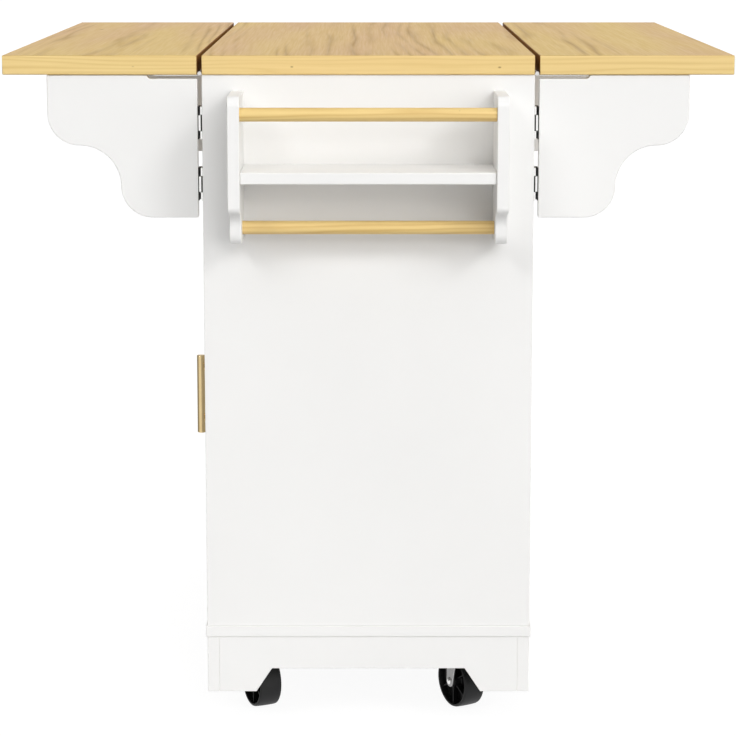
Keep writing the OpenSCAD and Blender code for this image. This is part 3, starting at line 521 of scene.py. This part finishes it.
# %% Rubber and nylon
def make_moulded(name, tones, roughness, scale, bump, specular=0.5):
    """Moulded rubber or plastic: a fine pitted skin, dull patches and paler rims."""
    material, tree, shader, place, rim = start_finish(name, specular=specular)
    pits = noise(tree, place, scale, 3.0, 0.6)
    dull = remap(tree, noise(tree, place, 30.0, 3.0), 0.35, 0.65)
    colour = mix_colours(tree, dull, (*tones[0], 1), (*tones[1], 1))
    rub = place_group(tree, rubbed_edge, {"Vector": place, "Rim": rim, "Amount": 0.8})
    feed(tree, shader, "Base Color", mix_colours(tree, rub.outputs["Mask"], colour, (*tones[2], 1)))
    feed(tree, shader, "Roughness", remap(tree, dull, 0.0, 1.0, roughness - 0.05, roughness + 0.07))
    raise_surface(tree, shader, pits, bump, 0.15 * MM)
    return material


TREAD_TONES = ((0.013, 0.013, 0.014), (0.016, 0.016, 0.016), (0.030, 0.030, 0.030))
CORE_TONES = ((0.004, 0.004, 0.004), (0.006, 0.006, 0.006), (0.020, 0.020, 0.020))
NYLON_TONES = ((0.800, 0.790, 0.740), (0.770, 0.760, 0.710), (0.850, 0.840, 0.800))
tread_black = make_moulded("wheel_tread_black", TREAD_TONES, 0.50, 900.0, 0.10, 0.25)
core_black = make_moulded("wheel_core_black", CORE_TONES, 0.34, 500.0, 0.06, 0.2)
nylon = make_moulded("nylon", NYLON_TONES, 0.45, 700.0, 0.05)
print("finishes:", len(bpy.data.materials))

# %% [markdown]
# ## Shaping boards
# A sawn and sanded board never has a knife edge: a 1 mm rounding is what catches the light along it.
# A CAD node's mesh is loose triangles, so a copy of it is merged, its flat faces are joined again,
# and only then are its long sharp edges beveled. The faces that the bevel makes get the rim mark.
# A weighted-normal modifier keeps the large faces evenly shaded beside the small ones.


# %% Helpers for shapes
SAME_SPOT = 0.001 * MM
FLAT_UNDER = math.radians(1)
SMOOTH_UNDER = math.radians(50)


def cad_copy(node):
    """A merged copy of a CAD node's mesh, with its flat faces whole again."""
    bm = bmesh.new()
    bm.from_mesh(frame["nodes"][node].data)
    bmesh.ops.remove_doubles(bm, verts=bm.verts, dist=SAME_SPOT)
    bmesh.ops.dissolve_limit(bm, angle_limit=FLAT_UNDER, verts=bm.verts, edges=bm.edges)
    bm.faces.layers.float.new("rim")
    return bm


def ease_edges(bm, radius, segments=3, shortest=0.0, sharper_than=35, wanted=None):
    """Rounds the sharp edges that are long enough, in millimetres, and marks the new faces as rim."""
    rim = bm.faces.layers.float["rim"]
    sharp = math.radians(sharper_than)
    edges = [e for e in bm.edges if e.is_manifold and e.calc_face_angle(0.0) > sharp]
    edges = [e for e in edges if e.calc_length() > shortest * MM and (wanted is None or wanted(e))]
    made = bmesh.ops.bevel(
        bm,
        geom=edges,
        offset=radius * MM,
        offset_type="OFFSET",
        segments=segments,
        profile=0.5,
        affect="EDGES",
        clamp_overlap=False,
        material=-1,
    )
    for face in made["faces"]:
        face[rim] = 1.0


def add_piece(bm, name, body, finishes, replaced):
    """Turns a finished mesh into a piece that rides on a body and stands for CAD nodes."""
    mesh = bpy.data.meshes.new(name)
    bm.to_mesh(mesh)
    bm.free()
    for finish in finishes:
        mesh.materials.append(finish)
    mesh.shade_smooth()
    mesh.set_sharp_from_angle(angle=SMOOTH_UNDER)
    piece = bpy.data.objects.new(name, mesh)
    scene.collection.objects.link(piece)
    piece.modifiers.new("even_shading", "WEIGHTED_NORMAL").keep_sharp = True
    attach(piece, body)
    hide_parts(*replaced)


def body_of(node):
    """The name of the body that a CAD node rides on."""
    return frame["nodes"][node]["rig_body"]


# %% [markdown]
# ## Painted boards
# Nearly all of the cabinet is painted board. They differ in how generously their edges are rounded:
# the rack's plates and the swing-out brackets, which hands touch, more than the carcass.
# Pin holes and bush holes keep their crisp drilled rims, so short edges are left out where they are.

# %% Dress the painted boards
CARCASS = ["end_panel_near", "end_panel_far", "back_panel", "base_board", "front_panel_near"]
CARCASS += ["front_panel_far", "plinth_front", "plinth_back", "plinth_end_near", "plinth_end_far"]
INSIDE = ["divider_near", "divider_far", "drawer_deck", "shelf_near", "shelf_far", "shelf_middle"]
FRONTS = ["door_near", "door_far", "drawer_front"]
HAND_BOARDS = ["rack_side_left", "rack_side_right", "rack_shelf"]
HAND_BOARDS += [node for node in frame["nodes"] if node.startswith(("bracket_front", "bracket_back"))]
# Each plan: its boards, their edge radius, the shortest edge that is rounded, and their paint
BOARD_PLANS = [(CARCASS, 0.8, 1.5, white_paint), (INSIDE, 0.6, 1.5, inner_white)]
BOARD_PLANS += [(FRONTS, 1.2, 1.5, white_paint), (HAND_BOARDS, 1.4, 0.0, white_paint)]

for nodes, radius, shortest, finish in BOARD_PLANS:
    for node in nodes:
        bm = cad_copy(node)
        ease_edges(bm, radius, shortest=shortest)
        add_piece(bm, node + "_board", body_of(node), [finish], [node])
print("painted boards:", sum(len(plan[0]) for plan in BOARD_PLANS))

# %% [markdown]
# ## Worktop
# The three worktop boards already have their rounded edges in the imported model. What they lack is
# the way real boards are built: a face veneer whose grain runs along the cart, and a band on each
# edge whose grain follows that edge. So the copy's faces are sorted by the way they look.

# %% Measure the cabinet
near_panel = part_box("end_panel_near")
far_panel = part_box("end_panel_far")
HALF_W = near_panel[1].x / MM
NEAR_Y = near_panel[0].y / MM
FAR_Y = far_panel[1].y / MM
print("half width", round(HALF_W, 1), "ends at", round(NEAR_Y, 1), "and", round(FAR_Y, 1))

# %% Dress the worktop
WORKTOP = {"worktop_middle": "middle", "leaf_front": "front", "leaf_back": "back"}
JOINT_X = (HALF_W + 7.0) * MM
EDGE_LEAN = 0.72


def sort_board_faces(bm):
    """Sets 0 on the flat faces, 1 on the ends, 2 on the outer long edges and 3 inside the joints."""
    bm.normal_update()
    for face in bm.faces:
        face.material_index = 0
        if abs(face.normal.y) > EDGE_LEAN:
            face.material_index = 1
        elif abs(face.normal.x) > EDGE_LEAN:
            inside = abs(face.calc_center_median().x) < JOINT_X
            face.material_index = 3 if inside else 2


for node, board in WORKTOP.items():
    bm = cad_copy(node)
    sort_board_faces(bm)
    # The fourth finish paints the shade inside the leaf joints
    finishes = [oak_faces[board], oak_end_band, oak_long_band, oak_joint_painted_shade]
    add_piece(bm, node + "_oak", body_of(node), finishes, [node])
print("worktop boards:", list(WORKTOP))

# %% [markdown]
# ## Turned parts
# Rods, handle bars, screw heads, bolt heads and wheels are all turned: an outline of radius and
# height, spun round an axis. The spin needs its ends merged, and a pole on the axis its doubles
# removed, before the normals are turned outwards. A part is made once at the origin and then put
# into a larger mesh wherever it is needed; a mirrored place turns its faces inside out, so they are
# flipped back.


# %% Helpers for repeated parts
UNMOVED = Matrix.Identity(4)


def empty_mesh():
    """A mesh with only the rim mark in it."""
    bm = bmesh.new()
    bm.faces.layers.float.new("rim")
    return bm


def set_finish(bm, finish):
    """Gives every face the finish with a number."""
    for face in bm.faces:
        face.material_index = finish


def put(whole, part, place=UNMOVED):
    """Adds a copy of a part to a larger mesh at a place."""
    sheet = bpy.data.meshes.new("part")
    part.to_mesh(sheet)
    sheet.transform(place)
    if place.determinant() < 0:
        sheet.flip_normals()
    whole.from_mesh(sheet)
    bpy.data.meshes.remove(sheet)


def turned_to(axis):
    """A rotation that lays the part's Z along an axis."""
    return Vector(axis).to_track_quat("Z", "Y").to_matrix().to_4x4()


def shifted(x, y, z):
    """A move in millimetres."""
    return Matrix.Translation(Vector((x, y, z)) * MM)


# %% Helpers for turned parts
QUARTER_ROUND = (0, 0.52, 1.05, 1.57)


def turn(outline, steps=48, closed=False, finish=0):
    """Spins an outline of (radius, height) points in millimetres round Z."""
    bm = empty_mesh()
    verts = [bm.verts.new((radius * MM, 0, height * MM)) for radius, height in outline]
    pairs = list(zip(verts, verts[1:]))
    if closed:
        pairs.append((verts[-1], verts[0]))
    edges = [bm.edges.new(pair) for pair in pairs]
    bmesh.ops.spin(
        bm,
        geom=verts + edges,
        cent=(0, 0, 0),
        axis=(0, 0, 1),
        angle=2 * math.pi,
        steps=steps,
        use_merge=True,
        use_duplicate=False,
    )
    bmesh.ops.remove_doubles(bm, verts=bm.verts, dist=SAME_SPOT)
    bmesh.ops.recalc_face_normals(bm, faces=bm.faces)
    set_finish(bm, finish)
    return bm


def rod_outline(radius, length, easing):
    """The outline of a rod round Z, with its ends rounded, from the lower pole to the upper one."""
    half = length / 2
    upper = []
    for angle in QUARTER_ROUND:
        inwards = easing * (1 - math.sin(angle))
        down = easing * (1 - math.cos(angle))
        upper.append((radius - inwards, half - down))
    lower = [(across, -height) for across, height in upper]
    return [(0, -half), *lower, *reversed(upper), (0, half)]


# %% [markdown]
# ## Rack rods
# The two rods are the same wood as the worktop, turned and lacquered, with their ends in the plates.

# %% Turn the rods
ROD_R = 9.0

for node in ("rack_rod_upper", "rack_rod_lower"):
    low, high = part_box(node)
    centre = (low + high) / 2
    length = (high.x - low.x) / MM
    rod = turn(rod_outline(ROD_R, length, 1.0))
    bm = empty_mesh()
    put(bm, rod, Matrix.Translation(centre) @ turned_to((1, 0, 0)))
    rod.free()
    add_piece(bm, node + "_oak", body_of(node), [oak_rod], [node])
print("rods turned: 2")

# %% [markdown]
# ## Handles
# A brass bar stands off on two posts. The bar's ends are rounded over, and each post has a narrow
# foot ring where it meets the board, which hides the screw hole.

# %% Make the handles
BAR_R = 6.0
BAR_L = 116.0
POST_R = 4.0
POST_HALF_PITCH = 38.0
STAND_OFF = (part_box("door_handle_near")[1].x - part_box("door_handle_near")[0].x) / MM - BAR_R


def make_handle():
    """A handle with its bar along Z through the origin and its posts along +X."""
    bm = empty_mesh()
    bar = turn(rod_outline(BAR_R, BAR_L, 1.2))
    foot = STAND_OFF
    outline = [(0, 3.0), (POST_R, 3.0), (POST_R, foot - 3.2), (4.4, foot - 2.4), (5.6, foot - 1.9)]
    outline += [(5.9, foot - 1.5), (5.9, foot - 0.3), (5.6, foot), (0, foot)]
    post = turn(outline, 40)
    put(bm, bar)
    for side in (-1, 1):
        put(bm, post, shifted(0, 0, side * POST_HALF_PITCH) @ turned_to((1, 0, 0)))
    bar.free()
    post.free()
    return bm


HANDLES = ("door_handle_near", "door_handle_far", "drawer_handle")
handle = make_handle()
for node in HANDLES:
    low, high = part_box(node)
    centre = (low + high) / 2
    centre.x = low.x + BAR_R * MM
    level = high.y - low.y > high.z - low.z
    tilt = Matrix.Rotation(math.pi / 2, 4, "X") if level else UNMOVED
    bm = empty_mesh()
    put(bm, handle, Matrix.Translation(centre) @ tilt)
    finish = brass_level if level else brass_upright
    add_piece(bm, node + "_brass", body_of(node), [finish], [node])
handle.free()
print("handles:", HANDLES)

# %% [markdown]
# ## Screws
# One shape of head serves every flap and plate: a low dome with a cross recess. The cross is a
# twelve-cornered loop that is bridged to the dome's ring, and then pushed down with a taper.


# %% Make a screw head
def make_screw(radius, height, reach):
    """A screw head that faces +Z with its foot at the origin; reach is how far the cross spreads."""
    outline = [(radius, 0), (radius, height * 0.35), (radius * 0.86, height * 0.8), (radius * 0.7, height)]
    bm = turn(outline, 24)
    ring = [e for e in bm.edges if e.is_boundary and all(v.co.z > height * 0.9 * MM for v in e.verts)]
    arm = 0.30 * reach
    corners = [(arm, arm), (arm, reach), (-arm, reach), (-arm, arm), (-reach, arm), (-reach, -arm)]
    corners += [(-arm, -arm), (-arm, -reach), (arm, -reach), (arm, -arm), (reach, -arm), (reach, arm)]
    loop = [bm.verts.new((x * MM, y * MM, height * MM)) for x, y in corners]
    star = [bm.edges.new(pair) for pair in zip(loop, loop[1:] + loop[:1])]
    bmesh.ops.bridge_loops(bm, edges=ring + star)
    floor_face = bm.faces.new(loop)
    sunk = bmesh.ops.extrude_face_region(bm, geom=[floor_face])["geom"]
    deep = [v for v in sunk if isinstance(v, bmesh.types.BMVert)]
    bmesh.ops.translate(bm, verts=deep, vec=(0, 0, -0.7 * height * MM))
    bmesh.ops.scale(bm, verts=deep, vec=(0.6, 0.6, 1.0))
    bmesh.ops.delete(bm, geom=[floor_face], context="FACES_ONLY")
    bmesh.ops.recalc_face_normals(bm, faces=bm.faces)
    return bm


# %% [markdown]
# ## Hinges
# The brackets hang on small butt hinges in the gap beside the cabinet, and the leaves on flap hinges
# under the worktop. The imported shapes keep their knuckles; their flaps get eased corners and screws.
# In the gaps the flaps are painted near-black as a painted shade, and a bright nickel root block, a
# painted highlight, is added from the flap's front to each knuckle: two on the cabinet, one on the
# bracket between them. Corners of the cart mirror each other, so one place is drawn for the back
# near corner.

# %% Place things at the cart's corners
def corner_place(side, end):
    """Turns a place drawn for the back near corner, with y inwards from the end, into this corner's."""
    mirror = Matrix.Diagonal((side, -end, 1, 1))
    edge = NEAR_Y if end < 0 else FAR_Y
    return shifted(0, edge, 0) @ mirror


# %% Measure the hinges
SIDES = {"front": -1, "back": 1}
ENDS = {"near": -1, "far": 1}
PIN_X = HALF_W + 3.0
BRACKET_PIN_IN = 18.5
HINGE_HALF = 22.0
BRACKET_HINGE_Z = [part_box("bracket_flaps_back_near")[0].z / MM + HINGE_HALF]
BRACKET_HINGE_Z.append(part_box("bracket_flaps_back_near")[1].z / MM - HINGE_HALF)
small_screw = make_screw(radius=2.3, height=0.35, reach=1.3)
print("hinge pins", round(PIN_X, 1), "out, brackets hung at", [round(z, 1) for z in BRACKET_HINGE_Z])


# %% Helpers for blocks and flaps
def eased_block(low, high, easing):
    """A block between two corners in millimetres, in its mesh's second finish."""
    block = empty_mesh()
    bmesh.ops.create_cube(block, size=1.0)
    size = Vector(high) - Vector(low)
    bmesh.ops.scale(block, verts=block.verts, vec=size * MM)
    bmesh.ops.translate(block, verts=block.verts, vec=(Vector(low) + size / 2) * MM)
    ease_edges(block, easing, segments=2)
    set_finish(block, 1)
    return block


def eased_flaps(node, easing):
    """A copy of hinge flaps with eased edges, apart from the short ones round their knuckles."""
    bm = cad_copy(node)
    ease_edges(bm, easing, segments=2, shortest=1.0, sharper_than=60)
    return bm


# %% Plan the bracket hinges
# A flap's front and its roots' sides are measured from the pin, heights from the hinge's middle
MOVING_FLAP = {
    "front": 1.4,
    "out": (-1, 0, 0),
    "screws": ((-15.5, 9.0), (15.5, 9.0)),
    "root_sides": (-1.05, 1.95),
    "roots": ((-10.4, 10.4),),
}
FIXED_FLAP = {
    "front": -1.4,
    "out": (1, 0, 0),
    "screws": ((0.0, 11.5),),
    "root_sides": (-2.98, -0.4),
    "roots": ((-21.9, -10.9), (10.9, 21.9)),
}
ROOT_NEAR = 1.45
ROOT_DEEP = BRACKET_PIN_IN - 2.0
# The flaps take the first steel, a painted shade, and the root blocks the second, a painted highlight
HINGE_STEELS = [steel_painted_shade, bright_nickel_and_painted_highlight]
print("roots run from", ROOT_NEAR, "to", ROOT_DEEP, "mm in from the cart's end")


# %% Dress the bracket hinges
def dress_flap(bm, side, end, flap):
    """Adds the screws and knuckle roots of one bracket's two hinges, on one of their flaps."""
    corner = corner_place(side, end)
    left, right = [PIN_X + reach for reach in flap["root_sides"]]
    for middle in BRACKET_HINGE_Z:
        for height, inset in flap["screws"]:
            spot = shifted(PIN_X + flap["front"], BRACKET_PIN_IN - inset, middle + height)
            put(bm, small_screw, corner @ spot @ turned_to(flap["out"]))
    for middle in BRACKET_HINGE_Z:
        for bottom, top in flap["roots"]:
            low = (left, ROOT_NEAR, middle + bottom)
            high = (right, ROOT_DEEP, middle + top)
            block = eased_block(low, high, 0.3)
            put(bm, block, corner)
            block.free()


fixed_flaps = eased_flaps("bracket_hinge_fixed_flaps", 0.25)
for side_name, side in SIDES.items():
    for end_name, end in ENDS.items():
        dress_flap(fixed_flaps, side, end, FIXED_FLAP)
        node = f"bracket_flaps_{side_name}_{end_name}"
        bm = eased_flaps(node, 0.25)
        dress_flap(bm, side, end, MOVING_FLAP)
        add_piece(bm, node + "_steel", body_of(node), HINGE_STEELS, [node])
node = "bracket_hinge_fixed_flaps"
add_piece(fixed_flaps, "bracket_hinge_flaps_steel", "cart", HINGE_STEELS, [node])
print("bracket hinges dressed:", len(SIDES) * len(ENDS) * len(BRACKET_HINGE_Z))

# %% Dress the leaf hinges
LEAF_HINGE_IN = 20.0
LEAF_SCREWS = ((18.0, -12.0), (18.0, 12.0), (48.0, 0.0))

for side_name, side in SIDES.items():
    node = f"leaf_hinge_{side_name}_flaps"
    bm = eased_flaps(node, 0.3)
    low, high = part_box(node)
    middles = (low.y / MM + LEAF_HINGE_IN, (low.y + high.y) / 2 / MM, high.y / MM - LEAF_HINGE_IN)
    for middle in middles:
        for dx, dy in LEAF_SCREWS:
            spot = shifted(side * (PIN_X + dx), middle + dy, low.z / MM) @ turned_to((0, 0, -1))
            put(bm, small_screw, spot)
    add_piece(bm, node + "_nickel", body_of(node), [nickel], [node])
small_screw.free()

bm = eased_flaps("leaf_hinge_fixed_flaps", 0.3)
add_piece(bm, "leaf_hinge_fixed_nickel", "cart", [nickel], ["leaf_hinge_fixed_flaps"])
print("leaf hinges:", len(SIDES), "leaves with", len(middles), "hinges each")

# %% [markdown]
# ## Casters
# Each caster has a wooden block, a pressed plate with four screws, a ball race, a fork with soft
# pressed edges, a domed bolt, and a wheel: a thin tread on a deeply dished core with six ribs.
# The joints give each swivel line and axle, so one caster is drawn at the origin with its trail
# along +X and carried to each corner.

# %% Find the casters
joints = {joint["name"]: joint for joint in frame["joints"]}
CASTERS = [f"{side}_{end}" for side in SIDES for end in ENDS]
WHEEL_R = 37.5
TRAIL = 22.0
AXLE = Vector((TRAIL, 0, WHEEL_R)) * MM


def caster_place(caster):
    """The place of a caster on the floor under its swivel line, with X along its trail."""
    swivel = Vector(joints[f"caster_{caster}_swivel"]["pos_m"])
    axle = Vector(joints[f"caster_{caster}_roll"]["pos_m"])
    heading = math.atan2(axle.y - swivel.y, axle.x - swivel.x)
    return Matrix.Translation((swivel.x, swivel.y, 0)) @ Matrix.Rotation(heading, 4, "Z")


print("casters:", CASTERS)

# %% Make the wheels
RIBS = 6
RIB_LOW = (9.5, -0.8, -13.0)
RIB_HIGH = (32.6, 0.8, 13.0)


def make_wheel():
    """A wheel on an axle along Y through the origin: a tread in the first finish, a core in the second."""
    bm = empty_mesh()
    tread = [(34.0, -15.4), (34.2, -15.7), (34.6, -16.0), (35.6, -16.0), (36.6, -15.2), (37.1, -13.6)]
    tread += [(37.35, -10.0), (WHEEL_R, -4.0)]
    core = [(4.2, -16.6), (8.6, -16.6), (9.2, -16.1), (9.8, -12.0), (10.8, -6.4), (12.5, -5.2)]
    core += [(29.5, -5.2), (31.2, -6.2), (31.9, -8.5), (33.2, -15.0), (33.6, -15.6), (34.1, -15.6)]
    lay = turned_to((0, 1, 0))
    for half, finish in ((tread, 0), (core, 1)):
        outline = half + [(radius, -offset) for radius, offset in reversed(half)]
        ring = turn(outline, 72, True, finish)
        put(bm, ring, lay)
        ring.free()
    rib = eased_block(RIB_LOW, RIB_HIGH, 0.4)
    for number in range(RIBS):
        angle = 2 * math.pi * (number + 0.5) / RIBS
        put(bm, rib, lay @ Matrix.Rotation(angle, 4, "Z"))
    rib.free()
    return bm


wheel = make_wheel()
for caster in CASTERS:
    bm = empty_mesh()
    put(bm, wheel, caster_place(caster) @ shifted(TRAIL, 0, WHEEL_R))
    node = "caster_wheel_" + caster
    add_piece(bm, node + "_moulded", body_of(node), [tread_black, core_black], [node])
wheel.free()
print("wheels:", len(CASTERS))

# %% Helpers for forks
LEG_FACE = 19.5
BOLT_HOLE_R = 6.5
DOME_R = 4.2
DOME = [(0, 2.4), (1.5, 2.3), (3.0, 1.9), (DOME_R, 1.2), (4.6, 0.95), (5.6, 0.8), (6.0, 0.4), (6.0, 0)]


def drop_bolt(bm):
    """Takes the plain bolt out of a fork: it is the loose part that reaches farthest sideways."""
    tip = max(bm.verts, key=lambda v: abs(v.co.y))
    bolt = {tip}
    todo = [tip]
    while todo:
        vert = todo.pop()
        around = [edge.other_vert(vert) for edge in vert.link_edges]
        fresh = [v for v in around if v not in bolt]
        bolt.update(fresh)
        todo.extend(fresh)
    bmesh.ops.delete(bm, geom=list(bolt), context="VERTS")


def on_leg_rim(edge):
    """Whether an edge lies in the outer plane of a leg and isn't part of the axle's hole."""
    flat = all(abs(abs(v.co.y) - LEG_FACE * MM) < 0.02 * MM for v in edge.verts)
    middle = (edge.verts[0].co + edge.verts[1].co) / 2
    return flat and math.hypot(middle.x - AXLE.x, middle.z - AXLE.z) > BOLT_HOLE_R * MM


def make_bolt_head():
    """A bolt head that faces +Z: a washer in the first finish with a dome in the second."""
    bm = turn(DOME, 40)
    for face in bm.faces:
        middle = face.calc_center_median()
        face.material_index = 1 if math.hypot(middle.x, middle.y) < DOME_R * MM else 0
    return bm


# %% Dress the forks
bolt_head = make_bolt_head()
for caster in CASTERS:
    node = "caster_fork_" + caster
    place = caster_place(caster)
    bm = cad_copy(node)
    bmesh.ops.transform(bm, matrix=place.inverted(), verts=bm.verts)
    drop_bolt(bm)
    ease_edges(bm, 0.9, wanted=on_leg_rim)
    for side in (-1, 1):
        put(bm, bolt_head, shifted(TRAIL, side * LEG_FACE, WHEEL_R) @ turned_to((0, side, 0)))
    bmesh.ops.transform(bm, matrix=place, verts=bm.verts)
    add_piece(bm, node + "_zinc", body_of(node), [zinc, bright_nickel_and_painted_highlight], [node])
bolt_head.free()
print("forks:", len(CASTERS))

# %% Dress the plates and their blocks
PLATE_CORNER_R = 5.0


def is_upright(edge):
    """Whether an edge is a plate's upright corner."""
    return abs(edge.verts[0].co.z - edge.verts[1].co.z) > 2.0 * MM


bm = cad_copy("caster_plates")
ease_edges(bm, PLATE_CORNER_R, segments=5, shortest=2.0, sharper_than=60, wanted=is_upright)
ease_edges(bm, 0.35, segments=2, shortest=1.5, sharper_than=50)
add_piece(bm, "caster_plates_zinc", "cart", [zinc], ["caster_plates"])

bm = cad_copy("caster_blocks")
ease_edges(bm, 1.2, segments=2, shortest=2.0, sharper_than=60)
add_piece(bm, "caster_blocks_wood", "cart", [box_wood_y], ["caster_blocks"])
print("caster plates and blocks dressed")

# %% Dress the plates' screws
HEAD_H = 2.2
SCREW_OUT = 25.0

plate_screw = make_screw(radius=4.0, height=HEAD_H, reach=2.2)
bm = empty_mesh()
head_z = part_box("caster_screws")[0].z / MM + HEAD_H
for caster in CASTERS:
    swivel = Vector(joints[f"caster_{caster}_swivel"]["pos_m"]) / MM
    for dx in (-SCREW_OUT, SCREW_OUT):
        for dy in (-SCREW_OUT, SCREW_OUT):
            spot = shifted(swivel.x + dx, swivel.y + dy, head_z)
            put(bm, plate_screw, spot @ turned_to((0, 0, -1)))
plate_screw.free()
add_piece(bm, "caster_screw_heads", "cart", [zinc], ["caster_screws"])
print("plate screws:", 4 * len(CASTERS))

# %% [markdown]
# ## Drawer
# The box behind the drawer front is plain sawn wood. Its grain runs along each board, so the two
# cross boards and the bottom take the other direction. The slides are plated channels.

# %% Dress the drawer
BOX_SIDE = 12.05

bm = cad_copy("drawer_box")
ease_edges(bm, 0.8, segments=2)
low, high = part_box("drawer_box")
inner = (high.y - low.y) / 2 - BOX_SIDE * MM
middle = (high.y + low.y) / 2
for face in bm.faces:
    face.material_index = 1 if abs(face.calc_center_median().y - middle) < inner else 0
add_piece(bm, "drawer_box_wood", "drawer", [box_wood_x, box_wood_y], ["drawer_box"])

for node in ("drawer_slides_fixed", "drawer_slides_moving"):
    bm = cad_copy(node)
    ease_edges(bm, 0.3, segments=2, sharper_than=60)
    add_piece(bm, node + "_zinc", body_of(node), [zinc], [node])
print("drawer dressed")

# %% [markdown]
# ## Small fittings
# Shelf pins, and the bushes and pins that the doors turn on, are right as they were drawn. They only
# need their finishes.

# %% Finish the small fittings
FITTINGS = {"shelf_pins": nickel, "door_pivot_pins_near": nickel, "door_pivot_pins_far": nickel}
FITTINGS["door_pivot_bushes"] = nylon
for node, finish in FITTINGS.items():
    frame["nodes"][node].data.materials[0] = finish
print("fittings finished:", list(FITTINGS))
